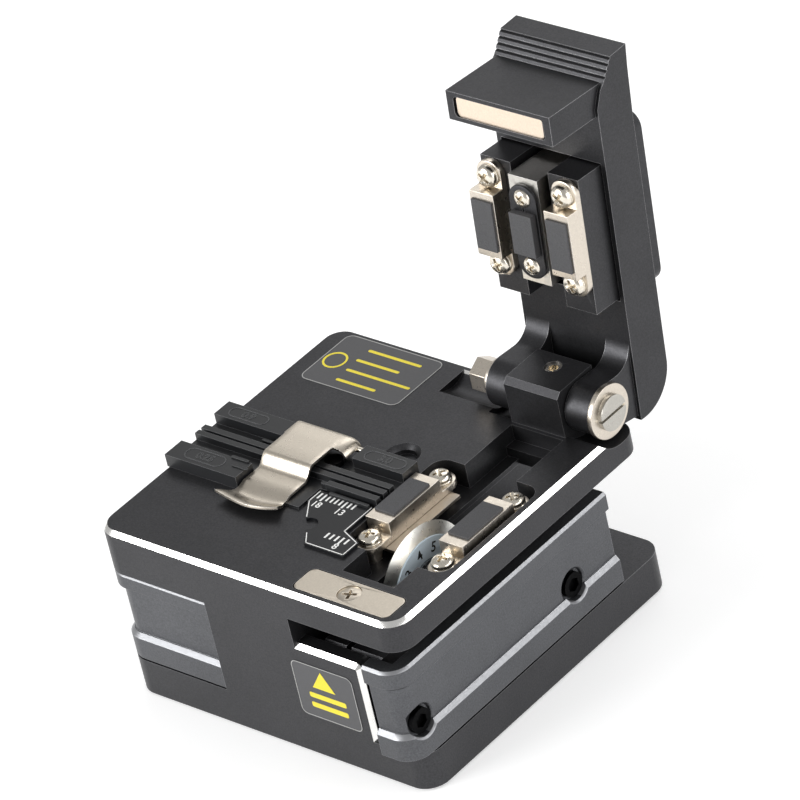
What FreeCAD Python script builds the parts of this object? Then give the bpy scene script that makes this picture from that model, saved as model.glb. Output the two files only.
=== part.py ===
import FreeCAD, Part
import Sketcher
import os
import re
from FreeCAD import Placement, Rotation, Vector

# Desktop fibre cleaver: an aluminium body with a deck, a lid hinged at the rear, a blade
# carriage that slides front to rear under the deck, and a fibre holder on the deck.
# Every piece is drawn from one datum, the front left bottom corner of the base: X runs to
# the right along the fibre, Y from the user to the hinge, Z up. Lid pieces are drawn as the
# lid lies closed, from the hinge axis on the cutting plane, and their Placement opens it.

doc = FreeCAD.newDocument("fibre_cleaver")
sheet = doc.addObject("Spreadsheet::Sheet", "Dimensions")

SIZES = {
    "base_width": 65,           # width of the base and of the deck
    "base_depth": 62.6,         # depth, front face to rear face
    "body_height": 33,          # underside of the base to the top of the deck
    "corner_round": 4,          # vertical corners of the body
    "deck_chamfer": 0.75,       # polished chamfer round the deck
    "deck_thick": 5.6,          # deck, down to the roof of the carriage channel
    "floor_high": 26.15,        # floor of the carriage channel, below the deck
    "channel_left": 24,         # left wall of the channel, from the right side
    "front_wall": 3,            # thickness of the front wall
    "sill_high": 10.8,          # top of the front wall where the channel looks out, below the deck
    "sill_right": 10.2,         # right end of the front wall, from the right side
    "sill_round": 1.2,          # upper right corner of the front wall
    "edge_break": 0.3,          # fine bevel along the base and other broken edges
    "foot_proud": 0.5,          # rubber feet below the base
    "foot_round": 3.5,          # radius of a foot
    "foot_thick": 1.3,          # thickness of a foot
    "foot_inset": 9,            # foot centre from the sides of the base
    "cut_plane": 12.9,          # blade edge, anvil and the lid's middle, from the right side
    "fibre_back": 27.2,         # Y of the fibre
    "fibre_high": 1.5,          # fibre above the deck
    "slot_left": 5.2,           # blade slot, left of the cutting plane
    "slot_right": 5.7,          # blade slot, right of it
    "slot_front": 8.6,          # front end of the slot
    "slot_back": 12.9,          # rear end of the slot through the deck, from the rear face
    "slot_step": 10.6,          # rear end of its shallow part, from the rear face
    "step_high": 3,             # floor of the slot's shallow part, below the deck
    "ledge_high": 4.7,          # floor of the clamp pockets, below the deck
    "ledge_left": 2.9,          # clamp ledge to the cutting plane, left
    "ledge_right": 4.9,         # the same, right
    "pocket_half": 12.6,        # half length of the clamp pockets
    "pocket_left": 10.5,        # clamp pockets, left of the cutting plane
    "pocket_right": 11,         # clamp pockets, right of it
    "pocket_round": 2.6,        # corners of the clamp pockets
    "scoop_left": 29.7,         # round scoop behind the holder, from the right side
    "scoop_back": 37.7,         # centre of the scoop from the front
    "scoop_round": 2.4,         # radius of its floor
    "scoop_deep": 1.6,          # depth of the scoop
    "scoop_bevel": 0.8,         # bevel round the scoop
    "clamp_offset": 7.75,       # clamp centre from the cutting plane
    "clamp_wide": 5,            # width of a clamp bracket
    "clamp_long": 23,           # length of a lower clamp bracket
    "clamp_foot": 1.2,          # thickness of the bracket's feet
    "clamp_block": 13,          # length of the bracket's raised block
    "clamp_drop": 0.4,          # block below the face of its rubber pad
    "upper_long": 21,           # length of an upper clamp bracket
    "upper_block": 11.8,        # length of its raised block
    "pad_wide": 4.2,            # rubber pad
    "pad_long": 9.1,            # length of the rubber pad
    "pad_deep": 1.6,            # rubber pad, face to back
    "screw_shank": 1,           # radius of the clamp screws
    "shank_long": 4.2,          # length of their shanks
    "head_round": 2,            # radius of their pan heads
    "head_high": 1.5,           # height of their pan heads
    "head_crown": 0.6,          # domed part of a pan head
    "cross_long": 1.3,          # half length of a cross recess
    "cross_wide": 0.5,          # width of a cross recess
    "cross_deep": 0.7,          # depth of a cross recess
    "foot_drop": 2.9,           # face of the pad down to the bracket's foot
    "post_round": 1.6,          # radius of the posts below the lower clamps
    "guard_left": 9.6,          # guard strip, left edge to the cutting plane
    "guard_right": 3.3,         # guard strip, right edge to the cutting plane
    "guard_long": 16.7,         # length of the guard strip
    "guard_thick": 0.6,         # thickness of the guard strip
    "hinge_back": 4.8,          # hinge axis in front of the rear face
    "hinge_high": 3.7,          # hinge axis above the deck
    "boss_round": 4.4,          # radius of the lid's hinge bosses
    "boss_room": 1.5,           # recess in the deck round the bosses
    "trough_round": 5,          # recess in the deck round the hinge nut
    "trough_long": 11.7,        # length of that recess
    "ear_outer": 10.75,         # outer face of the hinge ears from the middle
    "ear_inner": 5.95,          # inner face of the ears
    "ear_back": 5.2,            # rear edge of an ear where it meets the lid
    "ear_fillet": 4,            # round from the ears to the lid
    "knuckle_half": 5.65,       # half width of the knuckle on the deck
    "knuckle_front": 5.1,       # knuckle, front face to the axis
    "knuckle_back": 4.2,        # knuckle, rear face to the axis
    "knuckle_high": 4.8,        # knuckle, top to the axis
    "knuckle_bevel": 1,         # front bevel of the knuckle
    "grub_round": 1.5,          # radius of the set screw in the knuckle
    "grub_back": 1.2,           # set screw behind the axis
    "grub_long": 2.8,           # length of the set screw
    "hex_round": 0.9,           # hexagon socket, centre to corner
    "pin_round": 1.5,           # radius of the hinge pin
    "pin_head": 3.1,            # radius of the pin's slotted head
    "pin_head_high": 0.8,       # height of that head
    "pin_tail": 0.7,            # pin beyond its nut
    "ring_round": 4.75,         # radius of the ring beside the right ear
    "ring_thick": 0.95,         # thickness of the ring
    "washer_round": 3.3,        # radius of the washer beside the left ear
    "washer_thick": 1.3,        # thickness of the washer
    "nut_round": 3.15,          # hinge nut, centre to corner
    "nut_thick": 3.4,           # thickness of the nut
    "running_gap": 0.04,        # running fit of the pin and of the blade hub
    "side_gap": 0.1,            # play beside parts that turn or slide
    "open_angle": 94.7,         # lid, closed to fully open
    "lid_half": 11.3,           # half width of the lid
    "lid_under": 7.65,          # underside of the lid above the hinge axis
    "lid_top": 15.7,            # top of the lid above the hinge axis
    "lid_heel": 5.9,            # lid behind the hinge axis
    "heel_round": 7.2,          # round heel of the lid
    "toe_start": 6.4,           # lid's underside, where it turns up to the grip, the same
    "toe_mid": 3.4,             # middle of that turn, the same
    "toe_mid_high": 9,          # height of the turn's middle
    "grip_start": 2.6,          # foot of the ribbed grip, the same
    "grip_start_high": 9.9,     # foot of the ribbed grip above the axis
    "grip_end": 1,              # top of the ribbed grip in front of the base's front
    "grip_end_high": 12.15,     # top of the ribbed grip above the axis
    "lid_reach": 1.4,           # nose end of the lid, the same
    "lid_lip": 16.3,            # top of the nose end above the axis
    "rib_count": 4,             # ribs on the grip
    "rib_deep": 0.35,           # grooves between the ribs
    "nose_half": 10.7,          # half width of the nose block
    "nose_front": 2.6,          # front face of the nose block behind the base's front
    "nose_back": 7.8,           # rear face of the nose block, the same
    "nose_drop": 3.1,           # tip of the nose block below the axis
    "magnet_half": 8.9,         # half width of the magnet strip in the nose
    "magnet_thick": 2,          # thickness of the magnet strip
    "magnet_sink": 0.25,        # strip behind the tip of the nose block
    "magnet_wall": 0.8,         # nose block in front of and behind the strip
    "magnet_round": 0.7,        # round ends of the strip and of its slot
    "magnet_gap": 0.4,          # free room in the slot at each end of the strip
    "mouth_back": 14.4,         # rear end of the opening for the clamps, behind the fibre
    "mouth_front": 10.9,        # front end of that opening, before the fibre
    "mouth_half": 10.4,         # half width of that opening
    "cap_high": 3,              # raised cap on the lid
    "cap_half": 10.5,           # half width of the cap
    "cap_back": 16.2,           # rear end of the cap, behind the fibre
    "cap_front": 15.2,          # front end of the cap, before the fibre
    "cap_round": 3,             # corners of the cap
    "cap_wall": 1.4,            # side wall of the cap
    "cap_roof": 2,              # roof of the cap
    "cap_screw_side": 7,        # cap screws from the middle
    "cap_screw_round": 0.9,     # radius of the cap screws
    "cap_screw_head": 1.6,      # radius of their countersunk heads
    "cap_screw_long": 5,        # length of the cap screws
    "carrier_inner": 3.9,       # clamp carrier, inner side from the middle
    "carrier_outer": 10.15,     # clamp carrier, outer side
    "carrier_back": 14,         # clamp carrier, rear end behind the fibre
    "carrier_front": 10.6,      # clamp carrier, front end before the fibre
    "carrier_high": 13.4,       # back of the clamp carriers above the axis
    "guide_round": 0.8,         # radius of the guide screws
    "guide_head": 1.5,          # radius of their heads
    "guide_head_high": 0.9,     # height of their heads
    "guide_pitch": 12,          # guide screw to guide screw
    "guide_deep": 4,            # thread of the guide screws in the carriers
    "spring_round": 1.5,        # outer radius of the pressing springs
    "yield_travel": 0.8,        # sprung travel of the upper clamps and of the anvil
    "anvil_half": 3,            # half width of the anvil block
    "anvil_long": 19.3,         # length of the anvil block
    "anvil_face": 0.2,          # face of the anvil block above the axis
    "plate_half": 2.8,          # half width of the anvil plate
    "plate_long": 17,           # length of the anvil plate
    "plate_thick": 0.8,         # thickness of the anvil plate
    "anvil_pad_wide": 4.6,      # rubber pad of the anvil
    "anvil_pad_long": 7.6,      # length of that pad
    "anvil_pad_high": 1.2,      # pad above the plate
    "anvil_screw_pitch": 12.4,  # anvil screw to anvil screw
    "anvil_head": 1.4,          # radius of the anvil screws' heads
    "anvil_head_high": 0.6,     # height of these heads
    "slide_gap": 0.25,          # clearance of parts that slide in each other
    "grip_thick": 2.8,          # wall of the side cover and of the left grip
    "grip_bottom": 25.8,        # lower edge of both, below the deck
    "grip_top": 8.5,            # upper edge of the left grip, below the deck
    "cover_top": 8.1,           # upper edge of the side cover, below the deck
    "grip_bevel": 0.45,         # bevel round both
    "grip_recess": 0.9,         # finger groove along both, depth
    "lip_top": 20.9,            # top of the lower lip, below the deck
    "band_bottom": 12.1,        # bottom of the upper band, below the deck
    "band_slope": 1,            # height over which the groove runs out
    "grip_long": 10.8,          # left free behind both: the carriage's travel
    "grip_return": 22.2,        # front return of the left grip
    "cover_front": 2.3,         # side cover forward of the base
    "cover_return": 7.2,        # front return of the side cover
    "cover_hole": 2.7,          # radius of the holes for its screws
    "cover_hole_high": 19.7,    # centres of these holes, below the deck
    "cover_hole_front": 4.2,    # first hole behind the cover's front
    "cover_hole_pitch": 39.2,   # hole to hole
    "cover_web": 1,             # cover left under the screw heads
    "cover_hole_bevel": 0.35,   # bevel round the holes
    "side_screw_head": 2.2,     # radius of the side screws' heads
    "side_screw_shank": 1.2,    # radius of their shanks
    "side_screw_long": 4,       # length of their shanks
    "blade_round": 10.6,        # radius of the cutting wheel
    "blade_left": 0.6,          # wheel, left of the cutting plane
    "blade_right": 1,           # wheel, right of it
    "blade_bevel": 2.1,         # width of its ground bevel
    "blade_drop": 0.1,          # blade edge below the fibre
    "blade_front": 6.6,         # blade axle in front of the fibre at rest
    "dial_round": 8.45,         # outer radius of the numbered ring
    "dial_bore": 4.9,           # inner radius of the numbered ring
    "dial_thick": 0.3,          # thickness of the ring
    "hub_round": 4.8,           # radius of the hub's flange
    "hub_thick": 0.6,           # thickness of that flange
    "hub_sleeve": 3.2,          # radius of the hub's sleeve
    "axle_round": 2,            # radius of the blade axle
    "axle_head": 3,             # radius of the axle's head and of its screw
    "axle_head_high": 1.2,      # height of both
    "axle_thread": 1,           # radius of the screw in the axle
    "axle_thread_long": 4,      # length of that screw
    "rail_wide": 5,             # linear rail
    "rail_high": 3.6,           # height of the rail
    "rail_front": 4,            # front end of the rail
    "rail_long": 47,            # length of the rail
    "rail_screw_pitch": 15,     # rail screw to rail screw
    "rail_screw_head": 1.6,     # radius of the rail screws' heads
    "rail_screw_sink": 1.2,     # depth of these heads
    "rail_screw_long": 5,       # length of the rail screws
    "truck_wide": 12,           # linear bearing on the rail
    "truck_high": 6,            # top of the bearing above the channel floor
    "truck_long": 26,           # length of the bearing
    "truck_front": 11,          # front end of the bearing
    "carriage_left": 8.6,       # carriage, left side to the cutting plane
    "carriage_front": 4,        # front of the carriage's front wall
    "carriage_back": 46,        # rear end of the carriage
    "carriage_plate": 2.5,      # base plate of the carriage
    "carriage_wall_high": 12,   # top of its front wall, below the deck
    "carriage_wall": 4.6,       # thickness of its front wall
    "wall_notch_left": 4.1,     # notch in the front wall, left edge to the cutting plane
    "wall_notch_wide": 1.1,     # width of the notch
    "carriage_side": 3.6,       # thickness of its right wall
    "side_bottom": 23.6,        # bottom of the right wall, below the deck
    "side_top": 9.2,            # top of the right wall, below the deck
    "cheek_left": 5.6,          # cheek that holds the axle, left side to the cutting plane
    "cheek_right": 1.2,         # the same, right side
    "cheek_half": 5.4,          # half length of the cheek
    "cheek_top": 6.2,           # top of the cheek, below the deck
    "blade_room_left": 1.4,     # slot for the wheel in the base plate, left
    "blade_room_right": 2,      # the same, right
    "blade_room_half": 7.6,     # half length of that slot
    "truck_screw_pitch": 22,    # screws into the bearing, front to rear
    "truck_screw_side": 4.4,    # the same, from the cutting plane
    "holder_left": 0.3,         # left end of the fibre holder
    "holder_right": 23.5,       # right end of the fibre holder, from the right side
    "holder_front": 18.4,       # front edge of the fibre holder
    "holder_step": 24,          # front edge of its right part
    "holder_back": 34.8,        # rear edge of the fibre holder
    "holder_base": 0.5,         # floor of the holder above the deck
    "land_high": 2.4,           # lands of the holder above the deck
    "land_front": 4.3,          # width of the front land
    "land_rear": 3.85,          # width of the rear lands
    "land_left_end": 16,        # right end of the rear left land
    "land_right_start": 30.7,   # left end of the rear right land
    "front_land_end": 16,       # right end of the front land
    "rail_rib_wide": 1.1,       # ribs beside the fibre groove
    "rail_rib_high": 1.8,       # these ribs above the deck
    "groove_half": 0.25,        # half width of the fibre groove
    "clip_left": 16.4,          # left side of the leaf clip
    "clip_right": 26.6,         # right side of the leaf clip
    "clip_sheet": 0.5,          # thickness of its sheet
    "clip_high": 3.3,           # top of the clip above the deck
    "clip_low": 1.3,            # lower step of the clip above the deck
    "clip_step_back": 25.3,     # rear edge of the step
    "clip_step_front": 23.4,    # front edge of the step
    "lip_back": 17.6,           # rear edge of the finger lip
    "lip_front": 14.6,          # front edge of the finger lip
    "lip_left": 14.2,           # left side of the finger lip
    "lip_right": 27.2,          # right side of the finger lip
    "lip_rise": 0.6,            # rise of the finger lip
    "clip_pivot_back": 34.1,    # Y of the clip's pivot
    "clip_pivot_high": 1.6,     # Z of the clip's pivot above the deck
    "clip_pin_round": 0.5,      # radius of the clip's pin
    "clip_eye": 1.2,            # radius of the eyes on the pin
    "clip_pin_seat": 1.2,       # pin in each land
    "keeper_wide": 20,          # steel keeper plate on the deck
    "keeper_deep": 5.5,         # keeper plate, front to rear
    "keeper_left": 23,          # left end of the keeper, from the right side
    "keeper_front": 1.6,        # front edge of the keeper
    "keeper_thick": 0.8,        # thickness of the keeper
    "keeper_round": 1.2,        # corners of the keeper
    "keeper_gap": 0.2,          # groove round the keeper
    "keeper_screw": 1,          # radius of its screw
    "keeper_screw_head": 2.1,   # radius of the screw's countersunk head
    "keeper_screw_long": 4,     # length of the screw
    "scale_left": 35.5,         # left end of the scale plate, from the right side
    "scale_back": 23.6,         # rear edge of the scale plate
    "scale_mid": 23.9,          # right end of its rear part, from the right side
    "scale_mid_front": 16.7,    # front end of that edge
    "scale_right": 19.9,        # right end of the scale plate, from the right side
    "scale_right_back": 15.1,   # rear corner of that end
    "scale_front": 11.1,        # front edge of the scale plate
    "scale_front_left": 28.3,   # left corner of its front edge, from the right side
    "scale_left_front": 20.5,   # front corner of the left end
    "scale_thick": 0.5,         # thickness of the scale plate
    "scale_notch_left": 31.1,   # round notch in its edge, from the right side
    "scale_notch_front": 15.6,  # the same, from the front
    "scale_notch": 1.6,         # radius of the notch
    "holder_screw_left": 19.5,  # left screw of the fibre holder
    "holder_screw_right": 27,   # its right screw
    "holder_screw_back": 30.4,  # Y of both
    "holder_screw_long": 4,     # length of both in the deck
    "grip_hole_front": 8,       # first screw of the left grip
    "grip_hole_back": 15.4,     # its second screw, from the rear face
    "side_head_high": 1,        # height of the side screws' heads
    "clip_arm": 27.5,           # left side of the clip's narrow ear
    "clip_ear_right": 29.4,     # right side of that ear
}

for row, (alias, size) in enumerate(SIZES.items(), start=1):
    sheet.set(f"A{row}", alias.replace("_", " "))
    sheet.set(f"B{row}", str(size))
    sheet.setAlias(f"B{row}", alias)
doc.recompute()


# A name below stands, in a formula, for the place that its size leads to. Parts on the deck
# keep to its top, its right side and its rear; the lid's parts are counted from the hinge axis.
PLACES = {
    "cut_plane": "base_width - cut_plane",
    "channel_left": "base_width - channel_left",
    "scoop_left": "base_width - scoop_left",
    "scale_notch_left": "base_width - scale_notch_left",
    "sill_right": "base_width - sill_right",
    "keeper_left": "base_width - keeper_left",
    "holder_right": "base_width - holder_right",
    "scale_left": "base_width - scale_left",
    "scale_mid": "base_width - scale_mid",
    "scale_right": "base_width - scale_right",
    "scale_front_left": "base_width - scale_front_left",
    "hinge_back": "base_depth - hinge_back",
    "slot_back": "base_depth - slot_back",
    "slot_step": "base_depth - slot_step",
    "grip_long": "base_depth - grip_long",
    "grip_hole_back": "base_depth - grip_hole_back",
    "floor_high": "body_height - floor_high",
    "sill_high": "body_height - sill_high",
    "ledge_high": "body_height - ledge_high",
    "step_high": "body_height - step_high",
    "grip_bottom": "body_height - grip_bottom",
    "grip_top": "body_height - grip_top",
    "cover_top": "body_height - cover_top",
    "lip_top": "body_height - lip_top",
    "band_bottom": "body_height - band_bottom",
    "cover_hole_high": "body_height - cover_hole_high",
    "carriage_wall_high": "body_height - carriage_wall_high",
    "side_bottom": "body_height - side_bottom",
    "side_top": "body_height - side_top",
    "cheek_top": "body_height - cheek_top",
    "fibre_high": "body_height + fibre_high",
    "hinge_high": "body_height + hinge_high",
    "nose_front": "base_depth - hinge_back - nose_front",
    "nose_back": "base_depth - hinge_back - nose_back",
    "toe_start": "base_depth - hinge_back - toe_start",
    "toe_mid": "base_depth - hinge_back - toe_mid",
    "grip_start": "base_depth - hinge_back - grip_start",
    "grip_end": "base_depth - hinge_back + grip_end",
    "lid_reach": "base_depth - hinge_back + lid_reach",
    "mouth_back": "base_depth - hinge_back - fibre_back - mouth_back",
    "mouth_front": "base_depth - hinge_back - fibre_back + mouth_front",
    "carrier_back": "base_depth - hinge_back - fibre_back - carrier_back",
    "carrier_front": "base_depth - hinge_back - fibre_back + carrier_front",
    "cap_back": "base_depth - hinge_back - fibre_back - cap_back",
    "cap_front": "base_depth - hinge_back - fibre_back + cap_front",
}


def formula(text):
    """A formula over the sheet's aliases, as the expression engine reads it."""
    def cell(word):
        return "Dimensions." + word.group()

    def place(word):
        return f"({PLACES[word.group()]})" if word.group() in PLACES else word.group()

    name = r"[a-z]+(?:_[a-z]+)+"
    return re.sub(name, cell, re.sub(name, place, text))


def value(text):
    return float(sheet.evalExpression(formula(text)))


def bind(thing, prop, text):
    thing.setExpression(prop, formula(text))


# ---- PartDesign: bodies, sketches and features -------------------------------------------

PLANES = {"XY": "XY_Plane", "XZ": "XZ_Plane", "YZ": "YZ_Plane"}


def new_body(name):
    return doc.addObject("PartDesign::Body", name)


def sketch_on(body, plane, height):
    """An empty sketch parallel to a plane of the body; XZ sketches look along -Y."""
    sketch = body.newObject("Sketcher::SketchObject", body.Name + "_sketch")
    origin = [f for f in body.Origin.OriginFeatures if f.Role == PLANES[plane]][0]
    sketch.AttachmentSupport = [(origin, "")]
    sketch.MapMode = "FlatFace"
    sign = "-" if plane == "XZ" else ""
    bind(sketch, "AttachmentOffset.Base.z", f"{sign}({height}) * 1 mm")
    return sketch


def hold(sketch, geometry, point, across, up):
    """Ties one point of a sketch to two formulas."""
    for kind, axis, text in (("DistanceX", -2, across), ("DistanceY", -1, up)):
        if text == "0":
            sketch.addConstraint(Sketcher.Constraint("PointOnObject", geometry, point, axis))
            continue
        index = sketch.addConstraint(Sketcher.Constraint(kind, -1, 1, geometry, point, value(text)))
        bind(sketch, f"Constraints[{index}]", f"({text}) * 1 mm")


def outline(body, plane, height, corners):
    """A closed outline through the corners, each given by two formulas."""
    sketch = sketch_on(body, plane, height)
    points = [Vector(value(a), value(b), 0) for a, b in corners]
    for start, end in zip(points, points[1:] + points[:1]):
        sketch.addGeometry(Part.LineSegment(start, end), False)
    for index, (across, up) in enumerate(corners):
        sketch.addConstraint(Sketcher.Constraint("Coincident", index, 1, (index - 1) % len(corners), 2))
        hold(sketch, index, 1, across, up)
    return sketch


def circles(body, plane, height, centres, radius):
    sketch = sketch_on(body, plane, height)
    for index, (across, up) in enumerate(centres):
        centre = Vector(value(across), value(up), 0)
        sketch.addGeometry(Part.Circle(centre, Vector(0, 0, 1), value(radius)), False)
        hold(sketch, index, 3, across, up)
        held = sketch.addConstraint(Sketcher.Constraint("Radius", index, value(radius)))
        bind(sketch, f"Constraints[{held}]", f"({radius}) * 1 mm")
    return sketch


def rectangle(left, front, right, back):
    return [(left, front), (right, front), (right, back), (left, back)]


def feature(body, kind, sketch, length):
    """Pad or Pocket from the sketch towards the positive side of its plane."""
    made = body.newObject("PartDesign::" + kind, body.Name + "_" + kind.lower())
    made.Profile = sketch
    bind(made, "Length", f"({length}) * 1 mm")
    looks_back = any(s[0].Role == "XZ_Plane" for s in sketch.AttachmentSupport)
    made.Reversed = looks_back if kind == "Pad" else not looks_back
    sketch.Visibility = False
    doc.recompute()
    return made


def pad(body, sketch, length):
    return feature(body, "Pad", sketch, length)


def pocket(body, sketch, length):
    before = body.Shape.Volume
    made = feature(body, "Pocket", sketch, length)
    assert body.Shape.Volume < before, f"{body.Name}: a pocket cut nothing"
    return made


def edges_where(body, wanted):
    found = [f"Edge{n}" for n, edge in enumerate(body.Tip.Shape.Edges, start=1) if wanted(edge)]
    assert found, f"{body.Name}: no edge to dress"
    return found


def dress(body, kind, names, size, second=None):
    made = body.newObject("PartDesign::" + kind, body.Name + "_" + kind.lower())
    made.Base = (body.Tip if body.Tip != made else made.BaseFeature, names)
    if kind == "Fillet":
        bind(made, "Radius", f"({size}) * 1 mm")
    else:
        bind(made, "Size", f"({size}) * 1 mm")
        if second:
            made.ChamferType = "Two distances"
            bind(made, "Size2", f"({second}) * 1 mm")
    doc.recompute()
    return made


def fillet(body, wanted, radius):
    names = edges_where(body, wanted)
    return dress(body, "Fillet", names, radius)


def chamfer(body, wanted, size, second=None):
    names = edges_where(body, wanted)
    return dress(body, "Chamfer", names, size, second)


NEAR = 1e-4
FULL_TURN = 360


def runs(edge, axis):
    """True for an edge that runs along the axis."""
    if edge.Curve.TypeId != "Part::GeomLine":
        return False
    return abs(abs(edge.tangentAt(edge.FirstParameter).dot(axis)) - 1) < NEAR


def circle_of(edge, radius):
    return edge.Curve.TypeId == "Part::GeomCircle" and abs(edge.Curve.Radius - radius) < NEAR


def at(edge, x=None, y=None, z=None):
    """True for an edge whose box lies at the given places."""
    box = edge.BoundBox
    places = ((x, box.XMin, box.XMax), (y, box.YMin, box.YMax), (z, box.ZMin, box.ZMax))
    return all(wish is None or max(abs(low - wish), abs(high - wish)) < 1e-3
               for wish, low, high in places)


ALONG_X, ALONG_Y, ALONG_Z = Vector(1, 0, 0), Vector(0, 1, 0), Vector(0, 0, 1)
TURNED = {"X": Rotation(ALONG_Y, 90), "Y": Rotation(ALONG_X, -90), "Z": Rotation()}


# ---- Part primitives and booleans ---------------------------------------------------------

def stand(thing, x, y, z):
    for axis, text in zip("xyz", (x, y, z)):
        bind(thing, f"Placement.Base.{axis}", text)


def box(x, y, z, long, wide, high):
    made = doc.addObject("Part::Box", "box")
    for prop, text in (("Length", long), ("Width", wide), ("Height", high)):
        bind(made, prop, f"({text}) * 1 mm")
    stand(made, x, y, z)
    return made


def rod(axis, x, y, z, radius, length):
    made = doc.addObject("Part::Cylinder", "rod")
    bind(made, "Radius", f"({radius}) * 1 mm")
    bind(made, "Height", f"({length}) * 1 mm")
    made.Placement = Placement(Vector(), TURNED[axis])
    stand(made, x, y, z)
    return made


def cone(axis, x, y, z, first, last, length):
    made = doc.addObject("Part::Cone", "cone")
    bind(made, "Radius1", f"({first}) * 1 mm")
    bind(made, "Radius2", f"({last}) * 1 mm")
    bind(made, "Height", f"({length}) * 1 mm")
    made.Placement = Placement(Vector(), TURNED[axis])
    stand(made, x, y, z)
    return made


def hexagon(axis, x, y, z, radius, length):
    made = doc.addObject("Part::Prism", "hexagon")
    made.Polygon = 6
    bind(made, "Circumradius", f"({radius}) * 1 mm")
    bind(made, "Height", f"({length}) * 1 mm")
    made.Placement = Placement(Vector(), TURNED[axis])
    stand(made, x, y, z)
    return made


def join(*things):
    made = doc.addObject("Part::MultiFuse", "joined")
    made.Shapes = list(things)
    made.Refine = True
    return made


def cut(base, *tools):
    made = doc.addObject("Part::Cut", "cut")
    made.Base = base
    made.Tool = tools[0] if len(tools) == 1 else join(*tools)
    made.Refine = True
    return made


def group(*things):
    made = doc.addObject("Part::Compound", "group")
    made.Links = list(things)
    return made


# ---- Finished sub-parts --------------------------------------------------------------------

nodes = []


def finish(thing, label, frame="body"):
    """Names a sub-part and moves it from its drawing datum into the part's own frame."""
    if thing.TypeId in ("Part::Box", "Part::Cylinder"):
        thing = group(thing)
    thing.Label = label
    if frame == "lid":
        thing.Placement = Placement(Vector(), Rotation(Vector(-1, 0, 0), value("open_angle")))
        bind(thing, "Placement.Rotation.Angle", "open_angle")
        stand(thing, "cut_plane - base_width / 2", "hinge_back - base_depth / 2",
              "hinge_high + foot_proud")
    else:
        stand(thing, "-base_width / 2", "-base_depth / 2", "foot_proud")
    nodes.append(thing)
    return thing


def screw(axis, seat, up, head, head_length, shank, shank_length, crown="0"):
    """A screw with its head's underside on the seat; up is 1 or -1 along the axis."""
    place = "XYZ".index(axis)

    def shifted(text):
        spot = list(seat)
        spot[place] = f"{spot[place]} + {text}"
        return spot

    if up > 0:
        pieces = [rod(axis, *shifted(f"-({shank_length})"), shank, f"{shank_length} + {head_length}")]
        pieces.append(rod(axis, *shifted("0"), head, f"{head_length} - {crown}"))
        if crown != "0":
            start = shifted(f"{head_length} - {crown}")
            pieces.append(cone(axis, *start, head, f"{head} - {crown}", crown))
    else:
        pieces = [rod(axis, *shifted(f"-({head_length})"), shank, f"{shank_length} + {head_length}")]
        pieces.append(rod(axis, *shifted(f"-({head_length}) + {crown}"), head, f"{head_length} - {crown}"))
        if crown != "0":
            start = shifted(f"-({head_length})")
            pieces.append(cone(axis, *start, f"{head} - {crown}", head, crown))
    return join(*pieces)


def clamp_screw(x, y, foot, up):
    """Pan head screw of a clamp with its cross recess, from the face of the bracket's foot."""
    whole = screw("Z", (x, y, foot), up, "head_round", "head_high", "screw_shank", "shank_long",
                  "head_crown")
    top = f"{foot} + head_high - cross_deep" if up > 0 else f"{foot} - head_high"
    along = box(f"{x} - cross_long", f"{y} - cross_wide / 2", top, "2 * cross_long", "cross_wide",
                "cross_deep")
    across = box(f"{x} - cross_wide / 2", f"{y} - cross_long", top, "cross_wide", "2 * cross_long",
                 "cross_deep")
    return cut(whole, along, across)


# ---- The body ------------------------------------------------------------------------------

def main_body():
    """Black aluminium body: base, front wall, left block, deck and hinge knuckle in one."""
    body = new_body("MainBody")
    pad(body, outline(body, "XY", "0", rectangle("0", "0", "base_width", "base_depth")), "body_height")
    fillet(body, lambda e: runs(e, ALONG_Z), "corner_round")
    top = value("body_height")
    chamfer(body, lambda e: at(e, z=top), "deck_chamfer")
    out_right = "base_width + channel_left"
    channel = rectangle("channel_left", "front_wall", out_right, "2 * base_depth")
    pocket(body, outline(body, "XY", "floor_high", channel), "body_height - deck_thick - floor_high")
    window = rectangle("channel_left", "-front_wall", out_right, "2 * front_wall")
    pocket(body, outline(body, "XY", "sill_high", window), "body_height - deck_thick - sill_high")
    beside = rectangle("sill_right", "-front_wall", out_right, "2 * front_wall")
    pocket(body, outline(body, "XY", "floor_high", beside), "body_height - deck_thick - floor_high")
    sill, end, floor = value("sill_high"), value("sill_right"), value("floor_high")
    fillet(body, lambda e: at(e, x=end, z=sill), "sill_round")
    turn = value("sill_round")
    chamfer(body, lambda e: at(e, y=0, z=sill) or (at(e, x=end, y=0) and runs(e, ALONG_Z))
            or (at(e, y=0) and circle_of(e, turn)), "deck_chamfer")
    grip_seat(body)
    blade_opening(body)
    keeper_seat(body)
    knuckle(body)
    fastener_bores(body)
    finish(body, "main_body")


def grip_seat(body):
    """The step round the left front corner that the grip fills, down to the base."""
    corners = [("-grip_thick", "-grip_thick"), ("grip_return", "-grip_thick"),
               ("grip_return", "grip_thick"), ("grip_thick", "grip_thick"),
               ("grip_thick", "grip_long"), ("-grip_thick", "grip_long")]
    pocket(body, outline(body, "XY", "floor_high", corners), "grip_top - floor_high")


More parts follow.
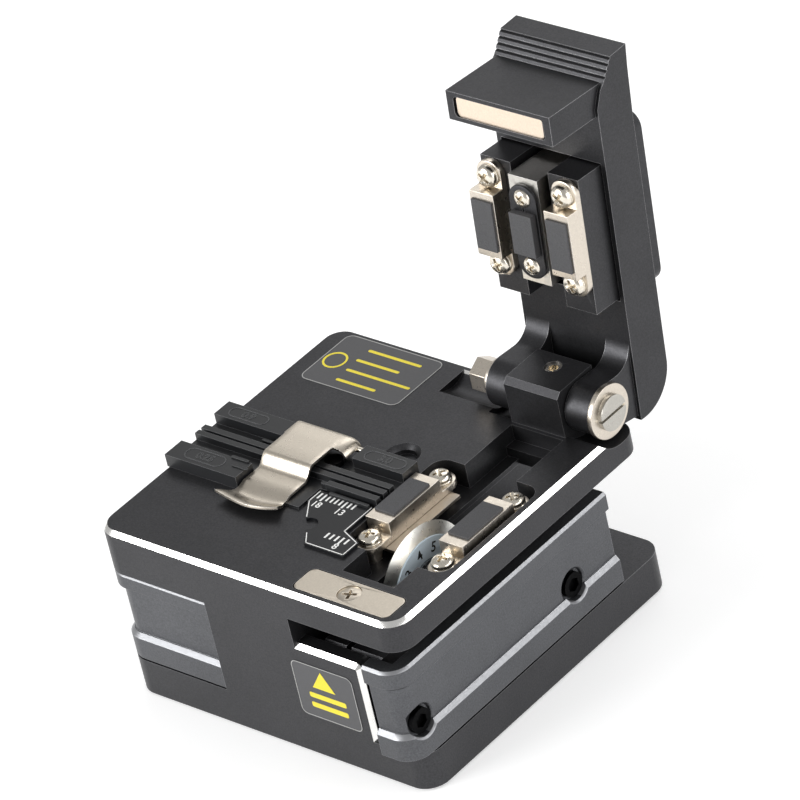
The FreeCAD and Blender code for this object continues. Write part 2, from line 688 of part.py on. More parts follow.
def blade_opening(body):
    """Slot for the wheel through the deck, with the two clamp pockets beside it."""
    pockets = rectangle("cut_plane - pocket_left", "fibre_back - pocket_half",
                        "cut_plane + pocket_right", "fibre_back + pocket_half")
    pocket(body, outline(body, "XY", "ledge_high", pockets), "body_height - ledge_high")
    left, right = value("cut_plane - pocket_left"), value("cut_plane + pocket_right")
    front, back = value("fibre_back - pocket_half"), value("fibre_back + pocket_half")
    fillet(body, lambda e: runs(e, ALONG_Z) and any(at(e, x=x, y=y) for x in (left, right)
                                                    for y in (front, back)), "pocket_round")
    wide = rectangle("cut_plane - slot_left", "slot_front", "cut_plane + slot_right", "slot_back")
    pocket(body, outline(body, "XY", "ledge_high", wide), "body_height - ledge_high")
    shallow = rectangle("cut_plane - slot_left", "slot_front", "cut_plane + slot_right", "slot_step")
    pocket(body, outline(body, "XY", "step_high", shallow), "body_height - step_high")
    narrow = rectangle("cut_plane - ledge_left", "slot_front", "cut_plane + ledge_right", "slot_back")
    pocket(body, outline(body, "XY", "body_height - deck_thick", narrow),
           "ledge_high - body_height + deck_thick")
    scoop = circles(body, "XY", "body_height - scoop_deep", [("scoop_left", "scoop_back")],
                    "scoop_round")
    pocket(body, scoop, "scoop_deep")
    deck, rim = value("body_height"), value("scoop_round")
    chamfer(body, lambda e: at(e, z=deck) and circle_of(e, rim), "scoop_bevel")


def keeper_seat(body):
    seat = rectangle("keeper_left - keeper_gap", "keeper_front - keeper_gap",
                     "keeper_left + keeper_wide + keeper_gap",
                     "keeper_front + keeper_deep + keeper_gap")
    pocket(body, outline(body, "XY", "body_height - keeper_thick", seat), "keeper_thick")
    left, right = value("keeper_left - keeper_gap"), value("keeper_left + keeper_wide + keeper_gap")
    low = value("body_height - keeper_thick")
    fillet(body, lambda e: runs(e, ALONG_Z) and abs(e.BoundBox.ZMin - low) < NEAR
           and (at(e, x=left) or at(e, x=right)), "keeper_round + keeper_gap")


def knuckle(body):
    """Hinge knuckle on the deck, and the round recesses for the lid's bosses and the nut."""
    front, back = "hinge_back - knuckle_front", "hinge_back + knuckle_back"
    top = "hinge_high + knuckle_high"
    side = [(front, "step_high - edge_break"), (back, "step_high - edge_break"), (back, top),
            (f"{front} + knuckle_bevel", top), (front, f"{top} - knuckle_bevel")]
    for left, right in (("channel_left", "cut_plane - knuckle_half"),
                        ("cut_plane + knuckle_half", "2 * base_width")):
        room = circles(body, "YZ", left, [("hinge_back", "hinge_high")], "boss_round + boss_room")
        pocket(body, room, f"{right} - ({left})")
        low = "hinge_high - boss_round - boss_room"
        behind = rectangle("hinge_back", low, "2 * base_depth", "hinge_high")
        pocket(body, outline(body, "YZ", left, behind), f"{right} - ({left})")
    trough = circles(body, "YZ", "channel_left - trough_long", [("hinge_back", "hinge_high")],
                     "trough_round")
    pocket(body, trough, "trough_long")
    pad(body, outline(body, "YZ", "cut_plane - knuckle_half", side), "2 * knuckle_half")
    bore = circles(body, "YZ", "cut_plane - 2 * knuckle_half", [("hinge_back", "hinge_high")],
                   "pin_round")
    pocket(body, bore, "4 * knuckle_half")
    grub = circles(body, "XY", "hinge_high", [("cut_plane", "hinge_back + grub_back")], "grub_round")
    pocket(body, grub, "2 * knuckle_high")


def fastener_bores(body):
    """Seats of the feet and bores of every screw that ends in the body."""
    inset = "foot_inset"
    feet = [(x, y) for x in (inset, f"base_width - {inset}") for y in (inset, f"base_depth - {inset}")]
    pocket(body, circles(body, "XY", "0", feet, "foot_round"), "foot_thick - foot_proud")
    rail = [("cut_plane", f"rail_front + rail_long / 2 + {n} * rail_screw_pitch") for n in (-1, 0, 1)]
    pocket(body, circles(body, "XY", "floor_high - rail_screw_long + rail_high - rail_screw_sink",
                         rail, "screw_shank"), "rail_screw_long")
    clamps = [(f"cut_plane {side} clamp_offset", f"fibre_back {end} (clamp_long - clamp_wide) / 2")
              for side in "-+" for end in "-+"]
    pocket(body, circles(body, "XY", "body_height - deck_thick", clamps, "screw_shank"),
           "ledge_high - body_height + deck_thick")
    keeper = [("keeper_left + keeper_wide / 2", "keeper_front + keeper_deep / 2")]
    pocket(body, circles(body, "XY", "body_height - keeper_screw_long", keeper, "keeper_screw"),
           "keeper_screw_long")
    holder = [(x, "holder_screw_back") for x in ("holder_screw_left", "holder_screw_right")]
    pocket(body, circles(body, "XY", "body_height - holder_screw_long", holder, "screw_shank"),
           "holder_screw_long")
    grip = [(y, "cover_hole_high") for y in ("grip_hole_front", "grip_hole_back")]
    pocket(body, circles(body, "YZ", "grip_thick - cover_web", grip, "side_screw_shank"),
           "side_screw_long")


def rubber_feet():
    places = [(x, y) for x in ("foot_inset", "base_width - foot_inset")
              for y in ("foot_inset", "base_depth - foot_inset")]
    feet = [rod("Z", x, y, "-foot_proud", "foot_round", "foot_thick") for x, y in places]
    finish(group(*feet), "rubber_feet")


# ---- Side cover and left grip ----------------------------------------------------------------

def wrapped_panel(body, corners, bend, top):
    """An L-shaped wall with a finger groove: corners(inset) gives its outline on the plan."""
    corner = value("corner_round")
    core = outline(body, "XY", "grip_bottom", corners("grip_recess"))
    pad(body, core, f"{top} - grip_bottom")
    turn = [value(text) for text in bend("grip_recess")]
    fillet(body, lambda e: runs(e, ALONG_Z) and at(e, x=turn[0], y=turn[1]),
           "corner_round - grip_recess")
    turn = [value(text) for text in bend("0")]
    for low, high in (("grip_bottom", "lip_top"), ("band_bottom", top)):
        pad(body, outline(body, "XY", low, corners("0")), f"{high} - {low}")
        fillet(body, lambda e: runs(e, ALONG_Z) and at(e, x=turn[0], y=turn[1]), "corner_round")
    lip, foot, edge = value("lip_top"), value("band_bottom"), value(top)
    outer = [(turn[0], None), (None, turn[1])]

    def outside(e, high):
        round_corner = e.Curve.TypeId == "Part::GeomCircle" and e.Curve.Radius > corner - NEAR
        return at(e, z=high) and (round_corner or any(at(e, x=x, y=y) for x, y in outer))

    chamfer(body, lambda e: outside(e, edge), "grip_bevel")
    chamfer(body, lambda e: outside(e, foot) or outside(e, lip), "grip_recess - edge_break / 2")


def bevel_holes(body, face, groove):
    """Bevels the screw holes where they open in the panel's face and in its groove."""
    faces, bore = (value(face), value(groove)), value("cover_hole")
    chamfer(body, lambda e: circle_of(e, bore) and any(at(e, x=x) for x in faces),
            "cover_hole_bevel")


def left_grip():
    """Grey aluminium grip let into the left front corner of the body."""
    body = new_body("LeftGrip")

    def corners(inset):
        return [(inset, inset), ("grip_return", inset), ("grip_return", "grip_thick"),
                ("grip_thick", "grip_thick"), ("grip_thick", "grip_long"), (inset, "grip_long")]

    wrapped_panel(body, corners, lambda inset: (inset, inset), "grip_top")
    holes = [(y, "cover_hole_high") for y in ("grip_hole_front", "grip_hole_back")]
    pocket(body, circles(body, "YZ", "-cover_web", holes, "cover_hole"), "grip_thick")
    bevel_holes(body, "0", "grip_recess")
    pocket(body, circles(body, "YZ", "0", holes, "side_screw_shank"), "2 * grip_thick")
    finish(body, "left_grip")


def left_grip_screws():
    seat = "grip_thick - cover_web"
    screws = [side_screw(seat, y, -1) for y in ("grip_hole_front", "grip_hole_back")]
    finish(group(*screws), "left_grip_screws")


def side_screw(seat, y, up):
    """Socket screw of the side panels; its head looks outwards."""
    whole = screw("X", (seat, y, "cover_hole_high"), up, "side_screw_head", "side_head_high",
                  "side_screw_shank", "side_screw_long")
    start = f"{seat} + side_head_high - cross_deep" if up > 0 else f"{seat} - side_head_high"
    return cut(whole, hexagon("X", start, y, "cover_hole_high", "cross_long", "cross_deep"))


def side_cover():
    """Grey aluminium cover of the carriage; it is what the finger pushes."""
    body = new_body("SideCover")

    def corners(inset):
        right = f"base_width - {inset}"
        front = f"{inset} - cover_front"
        return [("base_width - cover_return", front), (right, front), (right, "grip_long"),
                ("base_width - grip_thick", "grip_long"),
                ("base_width - grip_thick", "grip_thick - cover_front"),
                ("base_width - cover_return", "grip_thick - cover_front")]

    wrapped_panel(body, corners, lambda inset: (f"base_width - {inset}", f"{inset} - cover_front"),
                  "cover_top")
    first = "cover_hole_front - cover_front"
    holes = [(y, "cover_hole_high") for y in (first, f"{first} + cover_hole_pitch")]
    pocket(body, circles(body, "YZ", "base_width - grip_thick + cover_web", holes, "cover_hole"),
           "grip_thick")
    bevel_holes(body, "base_width", "base_width - grip_recess")
    pocket(body, circles(body, "YZ", "base_width - 2 * grip_thick", holes, "side_screw_shank"),
           "3 * grip_thick")
    finish(body, "side_cover")


def side_cover_screws():
    seat, first = "base_width - grip_thick + cover_web", "cover_hole_front - cover_front"
    screws = [side_screw(seat, y, 1) for y in (first, f"{first} + cover_hole_pitch")]
    finish(group(*screws), "side_cover_screws")


# ---- Carriage ----------------------------------------------------------------------------------

def linear_rail():
    """Ground steel rail on the channel floor, with three counterbored screws."""
    body = new_body("LinearRail")
    left, right = "cut_plane - rail_wide / 2", "cut_plane + rail_wide / 2"
    pad(body, outline(body, "XY", "floor_high", rectangle(left, "rail_front", right,
                                                          "rail_front + rail_long")), "rail_high")
    holes = [("cut_plane", y) for y in rail_screw_places()]
    sunk = "floor_high + rail_high - rail_screw_sink"
    pocket(body, circles(body, "XY", sunk, holes, "rail_screw_head + slide_gap / 2"),
           "rail_screw_sink")
    pocket(body, circles(body, "XY", "floor_high", holes, "screw_shank"), "rail_high")
    finish(body, "linear_rail")


def rail_screw_places():
    return [f"rail_front + rail_long / 2 + {n} * rail_screw_pitch" for n in (-1, 0, 1)]


def rail_screws():
    seat = "floor_high + rail_high - rail_screw_sink"
    screws = [screw("Z", ("cut_plane", y, seat), 1, "rail_screw_head", "rail_screw_sink - edge_break",
                    "screw_shank", "rail_screw_long") for y in rail_screw_places()]
    finish(group(*screws), "rail_screws")


def bearing_block():
    """Linear bearing that straddles the rail."""
    body = new_body("BearingBlock")
    half, inner = "truck_wide / 2", "(rail_wide / 2 + side_gap / 2)"
    low, top = "floor_high + slide_gap * 2", "floor_high + truck_high"
    arch = "floor_high + rail_high + side_gap / 2"
    corners = [(f"cut_plane - {half}", low), (f"cut_plane - {inner}", low),
               (f"cut_plane - {inner}", arch), (f"cut_plane + {inner}", arch),
               (f"cut_plane + {inner}", low), (f"cut_plane + {half}", low),
               (f"cut_plane + {half}", top), (f"cut_plane - {half}", top)]
    pad(body, outline(body, "XZ", "truck_front", corners), "truck_long")
    holes = truck_screw_places()
    pocket(body, circles(body, "XY", f"{top} + carriage_plate - shank_long", holes, "screw_shank"),
           "shank_long - carriage_plate")
    finish(body, "bearing_block")


def truck_screw_places():
    middle = "truck_front + truck_long / 2"
    return [(f"cut_plane + {side} * truck_screw_side", f"{middle} + {end} * truck_screw_pitch / 2")
            for side in (-1, 1) for end in (-1, 1)]


def carriage_block():
    """Carriage plate on the bearing with front wall, side wall and the cheek for the axle."""
    body = new_body("CarriageBlock")
    left, right = "cut_plane - carriage_left", "base_width - grip_thick"
    low = "floor_high + truck_high"
    plate = rectangle(left, "carriage_front", right, "carriage_back")
    pad(body, outline(body, "XY", low, plate), "carriage_plate")
    wall = rectangle(left, "carriage_front", right, "carriage_front + carriage_wall")
    pad(body, outline(body, "XY", low, wall), f"carriage_wall_high - ({low})")
    side = rectangle(f"{right} - carriage_side", "grip_thick - cover_front", right, "carriage_back")
    pad(body, outline(body, "XY", "side_bottom", side), "side_top - side_bottom")
    axle = "fibre_back - blade_front"
    cheek = rectangle("cut_plane - cheek_left", f"{axle} - cheek_half", "cut_plane - cheek_right",
                      f"{axle} + cheek_half")
    pad(body, outline(body, "XY", low, cheek), f"cheek_top - ({low})")
    fillet(body, lambda e: runs(e, ALONG_X) and at(e, z=value("cheek_top")), "corner_round")
    room = rectangle("cut_plane - blade_room_left", f"{axle} - blade_room_half",
                     "cut_plane + blade_room_right", f"{axle} + blade_room_half")
    pocket(body, outline(body, "XY", f"{low} - carriage_plate", room), "2 * carriage_plate")
    notch = rectangle("cut_plane - wall_notch_left", "0",
                      "cut_plane - wall_notch_left + wall_notch_wide", "2 * carriage_wall + front_wall")
    pocket(body, outline(body, "XY", f"{low} + carriage_plate", notch), "carriage_wall_high")
    wall_top = value("carriage_wall_high")
    front = value("carriage_front")
    chamfer(body, lambda e: runs(e, ALONG_X) and at(e, y=front, z=wall_top), "deck_chamfer")
    bore = circles(body, "YZ", "cut_plane - 2 * cheek_left", [(axle, blade_centre())], "axle_round")
    pocket(body, bore, "2 * cheek_left")
    pocket(body, circles(body, "XY", low, truck_screw_places(), "screw_shank"), "carriage_plate")
    first = "cover_hole_front - cover_front"
    holes = [(y, "cover_hole_high") for y in (first, f"{first} + cover_hole_pitch")]
    pocket(body, circles(body, "YZ", f"{right} - carriage_side", holes, "side_screw_shank"),
           "carriage_side")
    finish(body, "carriage_block")


def blade_centre():
    return "fibre_high - blade_drop - blade_round"


def carriage_screws():
    seat = "floor_high + truck_high + carriage_plate"
    screws = [screw("Z", (x, y, seat), 1, "cap_screw_head", "head_high", "screw_shank", "shank_long")
              for x, y in truck_screw_places()]
    finish(group(*screws), "carriage_screws")


# ---- Cutting wheel -------------------------------------------------------------------------------

def blade_parts():
    """Tungsten carbide wheel with its numbered ring, turning with the hub on a fixed axle."""
    axle, high = "fibre_back - blade_front", blade_centre()
    wheel = new_body("CuttingWheel")
    profile = [("-blade_left", "hub_sleeve"), ("-blade_left", "blade_round - blade_bevel"),
               ("0", "blade_round"), ("blade_right", "blade_round - blade_bevel"),
               ("blade_right", "hub_sleeve")]
    turned = wheel.newObject("PartDesign::Revolution", "WheelTurned")
    turned.Profile = outline(wheel, "XY", "0", profile)
    turned.ReferenceAxis = (turned.Profile[0], ["H_Axis"])
    turned.Angle = FULL_TURN
    doc.recompute()
    wheel.Label = "cutting_wheel"
    stand(wheel, "cut_plane - base_width / 2", "fibre_back - blade_front - base_depth / 2",
          f"{blade_centre()} + foot_proud")
    nodes.append(wheel)

    def tube(start, outer, inner, length):
        return cut(rod("X", f"cut_plane + {start}", axle, high, outer, length),
                   rod("X", f"cut_plane + {start} - side_gap", axle, high, inner,
                       f"{length} + 2 * side_gap"))

    finish(tube("blade_right", "dial_round", "dial_bore", "dial_thick"), "number_ring")
    hub = cut(join(rod("X", "cut_plane + blade_right", axle, high, "hub_round", "hub_thick"),
                   rod("X", "cut_plane - cheek_right + side_gap", axle, high, "hub_sleeve",
                       "cheek_right - side_gap + blade_right + hub_thick")),
              rod("X", "cut_plane - cheek_right", axle, high, "axle_round + running_gap",
                  "2 * cheek_right + blade_right + hub_thick"))
    finish(hub, "blade_hub")
    end = "cut_plane + blade_right + hub_thick + side_gap"
    pin = join(rod("X", "cut_plane - cheek_left - axle_head_high", axle, high, "axle_head",
                   "axle_head_high"),
               rod("X", "cut_plane - cheek_left", axle, high, "axle_round",
                   "cheek_left + blade_right + hub_thick + side_gap"))
    thread = rod("X", f"{end} - axle_thread_long", axle, high, "axle_thread", "2 * axle_thread_long")
    finish(cut(pin, thread), "blade_axle")
    finish(screw("X", (end, axle, high), 1, "axle_head", "axle_head_high", "axle_thread",
                 "axle_thread_long", "edge_break"), "blade_screw")


# ---- Clamps ----------------------------------------------------------------------------------------

def bracket(body, x, y, face, up, long, block):
    """Nickel-plated clamp: two rounded feet and a raised block with a pocket for its pad.

    face is the height of the pad's rubber face; up is 1 when that face looks up.
    """
    sign = "-" if up > 0 else "+"
    foot = f"{face} {sign} foot_drop"
    low = f"{foot} - clamp_foot" if up > 0 else foot
    left, right = f"{x} - clamp_wide / 2", f"{x} + clamp_wide / 2"
    strip = rectangle(left, f"{y} - {long} / 2", right, f"{y} + {long} / 2")
    pad(body, outline(body, "XY", low, strip), "clamp_foot")
    fillet(body, lambda e: runs(e, ALONG_Z), "clamp_wide / 2 - edge_break / 2")
    raised = rectangle(left, f"{y} - {block} / 2", right, f"{y} + {block} / 2")
    start = foot if up > 0 else f"{face} + clamp_drop"
    pad(body, outline(body, "XY", start, raised), "foot_drop - clamp_drop")
    room = rectangle(f"{x} - pad_wide / 2", f"{y} - pad_long / 2", f"{x} + pad_wide / 2",
                     f"{y} + pad_long / 2")
    seat = f"{face} - pad_deep" if up > 0 else f"{face} + clamp_drop"
    pocket(body, outline(body, "XY", seat, room), "pad_deep - clamp_drop")
    holes = [(x, f"{y} {end} ({long} - clamp_wide) / 2") for end in "-+"]
    pocket(body, circles(body, "XY", low, holes, "screw_shank"), "clamp_foot")
    return holes


def rubber_pad(x, y, face, up, wide, long, deep):
    low = f"{face} - {deep}" if up > 0 else face
    return box(f"{x} - {wide} / 2", f"{y} - {long} / 2", low, wide, long, deep)


def lower_clamps():
    """The two clamps on the ledges beside the blade slot, each on two posts."""
    posts, screws = [], []
    foot = "fibre_high - foot_drop"
    for side, sign in (("left", "-"), ("right", "+")):
        body = new_body("LowerClamp" + side.title())
        x = f"(cut_plane {sign} clamp_offset)"
        holes = bracket(body, x, "fibre_back", "fibre_high", 1, "clamp_long", "clamp_block")
        finish(body, "lower_clamp_" + side)
        made = rubber_pad(x, "fibre_back", "fibre_high", 1, "pad_wide", "pad_long", "pad_deep")
        finish(made, "lower_pad_" + side)
        for across, back in holes:
            posts.append(cut(rod("Z", across, back, "ledge_high", "post_round",
                                 f"{foot} - clamp_foot - ledge_high"),
                             rod("Z", across, back, "ledge_high", "screw_shank", "foot_drop")))
            screws.append(clamp_screw(across, back, foot, 1))
    finish(group(*posts), "clamp_posts")
    finish(group(*screws), "lower_clamp_screws")


def clamp_guard():
    """Thin strip under the left clamp that keeps fibre ends out of the slot."""
    body = new_body("ClampGuard")
    low = "fibre_high - foot_drop - clamp_foot - guard_thick"
    strip = rectangle("cut_plane - guard_left", "fibre_back - guard_long / 2",
                      "cut_plane - guard_right", "fibre_back + guard_long / 2")
    pad(body, outline(body, "XY", low, strip), "guard_thick")
    holes = [("cut_plane - clamp_offset", f"fibre_back {end} (clamp_long - clamp_wide) / 2")
             for end in "-+"]
    pocket(body, circles(body, "XY", low, holes, "post_round + slide_gap"), "guard_thick")
    finish(body, "clamp_guard")


# ---- Deck: keeper, scale, fibre holder and its clip -------------------------------------------------

def keeper_plate():
    body = new_body("KeeperPlate")
    low = "body_height - keeper_thick"
    plate = rectangle("keeper_left", "keeper_front", "keeper_left + keeper_wide",
                      "keeper_front + keeper_deep")
    pad(body, outline(body, "XY", low, plate), "keeper_thick")
    fillet(body, lambda e: runs(e, ALONG_Z), "keeper_round")
    middle = [("keeper_left + keeper_wide / 2", "keeper_front + keeper_deep / 2")]
    pocket(body, circles(body, "XY", low, middle, "keeper_screw_head"), "keeper_thick")
    finish(body, "keeper_plate")
    x, y = middle[0]
    head = rod("Z", x, y, low, "keeper_screw_head", "keeper_thick - edge_break / 2")
    shank = rod("Z", x, y, "body_height - keeper_screw_long", "keeper_screw",
                "keeper_screw_long - edge_break / 2")
    top = "body_height - edge_break / 2 - keeper_thick / 2"
    slots = [box(f"{x} - cross_long", f"{y} - cross_wide / 2", top, "2 * cross_long", "cross_wide",
                 "keeper_thick"),
             box(f"{x} - cross_wide / 2", f"{y} - cross_long", top, "cross_wide", "2 * cross_long",
                 "keeper_thick")]
    finish(cut(join(head, shank), *slots), "keeper_screw")


def scale_plate():
    """Thin printed plate beside the clamp that shows the cleave length."""
    body = new_body("ScalePlate")
    corners = [("scale_left", "scale_left_front"), ("scale_left", "scale_back"),
               ("scale_mid", "scale_back"), ("scale_mid", "scale_mid_front"),
               ("scale_right", "scale_right_back"), ("scale_right", "scale_front"),
               ("scale_front_left", "scale_front")]
    pad(body, outline(body, "XY", "body_height", corners), "scale_thick")
    notch = circles(body, "XY", "body_height", [("scale_notch_left", "scale_notch_front")],
                    "scale_notch")
    pocket(body, notch, "scale_thick")
    finish(body, "scale_plate")


def fibre_holder():
    """Moulded holder: lands for the printed marks, and two ribs with the groove for the fibre."""
    body = new_body("FibreHolder")
    step = [("holder_left", "holder_front"), ("scale_left - slide_gap", "holder_front"),
            ("scale_left - slide_gap", "holder_step"), ("holder_right", "holder_step"),
            ("holder_right", "holder_back"), ("holder_left", "holder_back")]
    pad(body, outline(body, "XY", "body_height", step), "holder_base")
    lands = [("holder_left", "holder_back - land_rear", "land_left_end", "holder_back", "land_high"),
             ("land_right_start", "holder_back - land_rear", "holder_right", "holder_back",
              "land_high"),
             ("holder_left", "holder_front", "front_land_end", "holder_front + land_front",
              "land_high"),
             ("holder_left", "fibre_back - rail_rib_wide - groove_half", "holder_right",
              "fibre_back - groove_half", "rail_rib_high"),
             ("holder_left", "fibre_back + groove_half", "holder_right",
              "fibre_back + rail_rib_wide + groove_half", "rail_rib_high"),
             ("land_right_start", "holder_step", "holder_right", "holder_step + rail_rib_wide",
              "rail_rib_high")]
    for left, front, right, back, high in lands:
        pad(body, outline(body, "XY", "body_height", rectangle(left, front, right, back)), high)
    eye_room = rectangle("land_left_end", "clip_pivot_back - clip_eye - 2 * edge_break",
                         "land_right_start", "2 * holder_back")
    pocket(body, outline(body, "XY", "body_height", eye_room), "land_high")
    pin = circles(body, "YZ", "land_left_end - clip_pin_seat",
                  [("clip_pivot_back", "body_height + clip_pivot_high")], "clip_pin_round")
    pocket(body, pin, "land_right_start - land_left_end + 2 * clip_pin_seat")
    holes = [(x, "holder_screw_back") for x in ("holder_screw_left", "holder_screw_right")]
    pocket(body, circles(body, "XY", "body_height", holes, "screw_shank"), "holder_base")
    finish(body, "fibre_holder")


def holder_screws():
    seat = "body_height + holder_base"
    screws = [screw("Z", (x, "holder_screw_back", seat), 1, "cap_screw_head", "edge_break * 3",
                    "screw_shank", "holder_base + holder_screw_long")
              for x in ("holder_screw_left", "holder_screw_right")]
    finish(group(*screws), "holder_screws")


def fibre_clip():
    """Leaf clip over the holder: one bent sheet with a finger lip and two eyes on its pin."""
    body = new_body("FibreClip")
    deck = "body_height"
    high, low = f"{deck} + clip_high", f"{deck} + clip_low"
    rear = "clip_pivot_back + clip_eye"
    profile = [(rear, high), ("clip_step_back", high), ("clip_step_front", low), ("lip_back", low),
               ("lip_back", f"{low} - clip_sheet"), ("clip_step_front", f"{low} - clip_sheet"),
               ("clip_step_back", f"{high} - clip_sheet"), (rear, f"{high} - clip_sheet")]
    pad(body, outline(body, "YZ", "clip_left", profile), "clip_right - clip_left")
    lip = [("lip_back", low), ("lip_front", f"{low} + lip_rise"),
           ("lip_front", f"{low} + lip_rise - clip_sheet"), ("lip_back", f"{low} - clip_sheet")]
    pad(body, outline(body, "YZ", "lip_left", lip), "lip_right - lip_left")
    ear = [(rear, high), (f"{rear} - 2 * clip_eye", high), (f"{rear} - 2 * clip_eye",
           f"{high} - clip_sheet"), (rear, f"{high} - clip_sheet")]
    pad(body, outline(body, "YZ", "clip_right", ear), "clip_ear_right - clip_right")
    centre = [("clip_pivot_back", f"{deck} + clip_pivot_high")]
    for left, right in (("clip_left", "clip_left + 2 * clip_eye"), ("clip_arm", "clip_ear_right")):
        pad(body, circles(body, "YZ", left, centre, "clip_eye"), f"{right} - ({left})")
        web = [("clip_pivot_back", f"{deck} + clip_pivot_high"), (rear, f"{deck} + clip_pivot_high"),
               (rear, f"{high} - clip_sheet"), ("clip_pivot_back", f"{high} - clip_sheet")]
        pad(body, outline(body, "YZ", left, web), f"{right} - ({left})")
    pocket(body, circles(body, "YZ", "0", centre, "clip_pin_round + running_gap"), "base_width")
    finish(body, "fibre_clip")
    pin = rod("X", "land_left_end - clip_pin_seat", "clip_pivot_back",
              f"{deck} + clip_pivot_high", "clip_pin_round",
              "land_right_start - land_left_end + 2 * clip_pin_seat")
    finish(pin, "clip_pin")


# ---- Hinge hardware -----------------------------------------------------------------------------------

def hinge_hardware():
    """Slotted pin through ears and knuckle, with a ring on the right, washer and nut on the left."""
    axis = ("hinge_back", "hinge_high")
    ring_face = "cut_plane + ear_outer + side_gap"
    washer_face = "cut_plane - ear_outer - side_gap"
    bore = rod("X", "0", *axis, "pin_round", "base_width")
    ring = rod("X", ring_face, *axis, "ring_round", "ring_thick")
    washer = rod("X", f"{washer_face} - washer_thick", *axis, "washer_round", "washer_thick")
    finish(group(cut(ring, bore), cut(washer, bore)), "hinge_washers")
    nut_face = f"{washer_face} - washer_thick - nut_thick"
    nut = hexagon("X", nut_face, *axis, "nut_round", "nut_thick")
    finish(cut(nut, bore), "hinge_nut")
    head_face = f"{ring_face} + ring_thick"
    shank = rod("X", f"{nut_face} - pin_tail", *axis, "pin_round",
                f"{head_face} - ({nut_face}) + pin_tail")
    head = rod("X", head_face, *axis, "pin_head", "pin_head_high")
    slot = box(f"{head_face} + pin_head_high - cross_deep", "hinge_back - pin_head",
               "hinge_high - cross_wide / 2", "cross_deep", "2 * pin_head", "cross_wide")
    finish(cut(join(shank, head), slot), "hinge_pin")
    top = "hinge_high + knuckle_high - edge_break"
    grub = rod("Z", "cut_plane", "hinge_back + grub_back", f"{top} - grub_long", "grub_round",
               "grub_long")
    socket = hexagon("Z", "cut_plane", "hinge_back + grub_back", f"{top} - grub_long / 2",
                     "hex_round", "grub_long / 2")
    finish(cut(grub, socket), "knuckle_set_screw")


# ---- Lid, drawn closed from the hinge axis: -Y towards the nose, +Z away from the deck -------------------

def lid_frame():
    """Cast lid: shell with the round heel, two hinge ears, ribbed grip and the nose block."""
    body = new_body("LidFrame")
    side = [("lid_heel", "lid_under"), ("-toe_start", "lid_under"), ("-toe_mid", "toe_mid_high"),
            *grip_ribs(), ("-grip_end", "grip_end_high"), ("-lid_reach", "lid_lip"),
            ("-grip_start", "lid_lip - edge_break"),
            ("-cap_front", "lid_top"), ("lid_heel", "lid_top")]
    pad(body, outline(body, "YZ", "-lid_half", side), "2 * lid_half")
    heel, top = value("lid_heel"), value("lid_top")
    fillet(body, lambda e: runs(e, ALONG_X) and at(e, y=heel, z=top), "heel_round")
    nose = rectangle("-nose_front", "-nose_drop", "-nose_back", "grip_start_high")
    pad(body, outline(body, "YZ", "-nose_half", nose), "2 * nose_half")
    for left in ("-ear_outer", "ear_inner"):
        ear = [("boss_round", "0"), ("ear_back", "lid_under + edge_break"),
               ("-boss_round", "lid_under + edge_break"), ("-boss_round", "0")]
        pad(body, outline(body, "YZ", left, ear), "ear_outer - ear_inner")
        pad(body, circles(body, "YZ", left, [("0", "0")], "boss_round"), "ear_outer - ear_inner")
    front, under = value("-boss_round"), value("lid_under")
    fillet(body, lambda e: runs(e, ALONG_X) and at(e, y=front, z=under), "ear_fillet")
    bore = circles(body, "YZ", "-lid_half", [("0", "0")], "pin_round + running_gap")
    pocket(body, bore, "2 * lid_half")
    mouth = rectangle("-mouth_half", "-mouth_front", "mouth_half", "-mouth_back")
    pocket(body, outline(body, "XY", "lid_under", mouth), "lid_top - lid_under")
    seat = rectangle("-magnet_half - magnet_gap", "-nose_front + magnet_wall",
                     "magnet_half + magnet_gap", "-nose_back - magnet_wall")
    pocket(body, outline(body, "XY", "-nose_drop", seat), "magnet_sink + magnet_thick")
    round_ends(body, "magnet_half + magnet_gap", "-nose_drop")
    bores = [(x, cap_screw_place()) for x in ("-cap_screw_side", "cap_screw_side")]
    pocket(body, circles(body, "XY", "lid_top - cap_screw_long", bores, "cap_screw_round"),
           "cap_screw_long")
    finish(body, "lid_frame", "lid")
    strip = rectangle("-magnet_half", "-nose_front + magnet_wall", "magnet_half",
                      "-nose_back - magnet_wall")
    magnet = new_body("LidMagnet")
    pad(magnet, outline(magnet, "XY", "magnet_sink - nose_drop", strip), "magnet_thick")
    round_ends(magnet, "magnet_half", "magnet_sink - nose_drop")
    finish(magnet, "lid_magnet", "lid")


def round_ends(body, half, low):
    """Rounds the upright edges of the magnet strip, or of its slot, that start at that height."""
    side, bottom = value(half), value(low)
    fillet(body, lambda e: runs(e, ALONG_Z) and abs(e.BoundBox.ZMin - bottom) < NEAR
           and (at(e, x=-side) or at(e, x=side)), "magnet_round")


def grip_ribs():
    """Outline of the ribs up the slope under the nose: each land ends in a V groove."""
    corners = []
    land, groove = 0.5, 0.75    # end of the land and bottom of the groove, shares of the pitch
    for rib in range(int(value("rib_count"))):
        for share, sunk in ((0, "0"), (land, "0"), (groove, "rib_deep")):
            along = f"({rib} + {share}) / rib_count"
            corners.append((f"-(grip_start + (grip_end - grip_start) * {along})",
                            f"grip_start_high + (grip_end_high - grip_start_high) * {along} + {sunk}"))
    return corners


def cap_screw_place():
    return "-(mouth_front + cap_front) / 2"


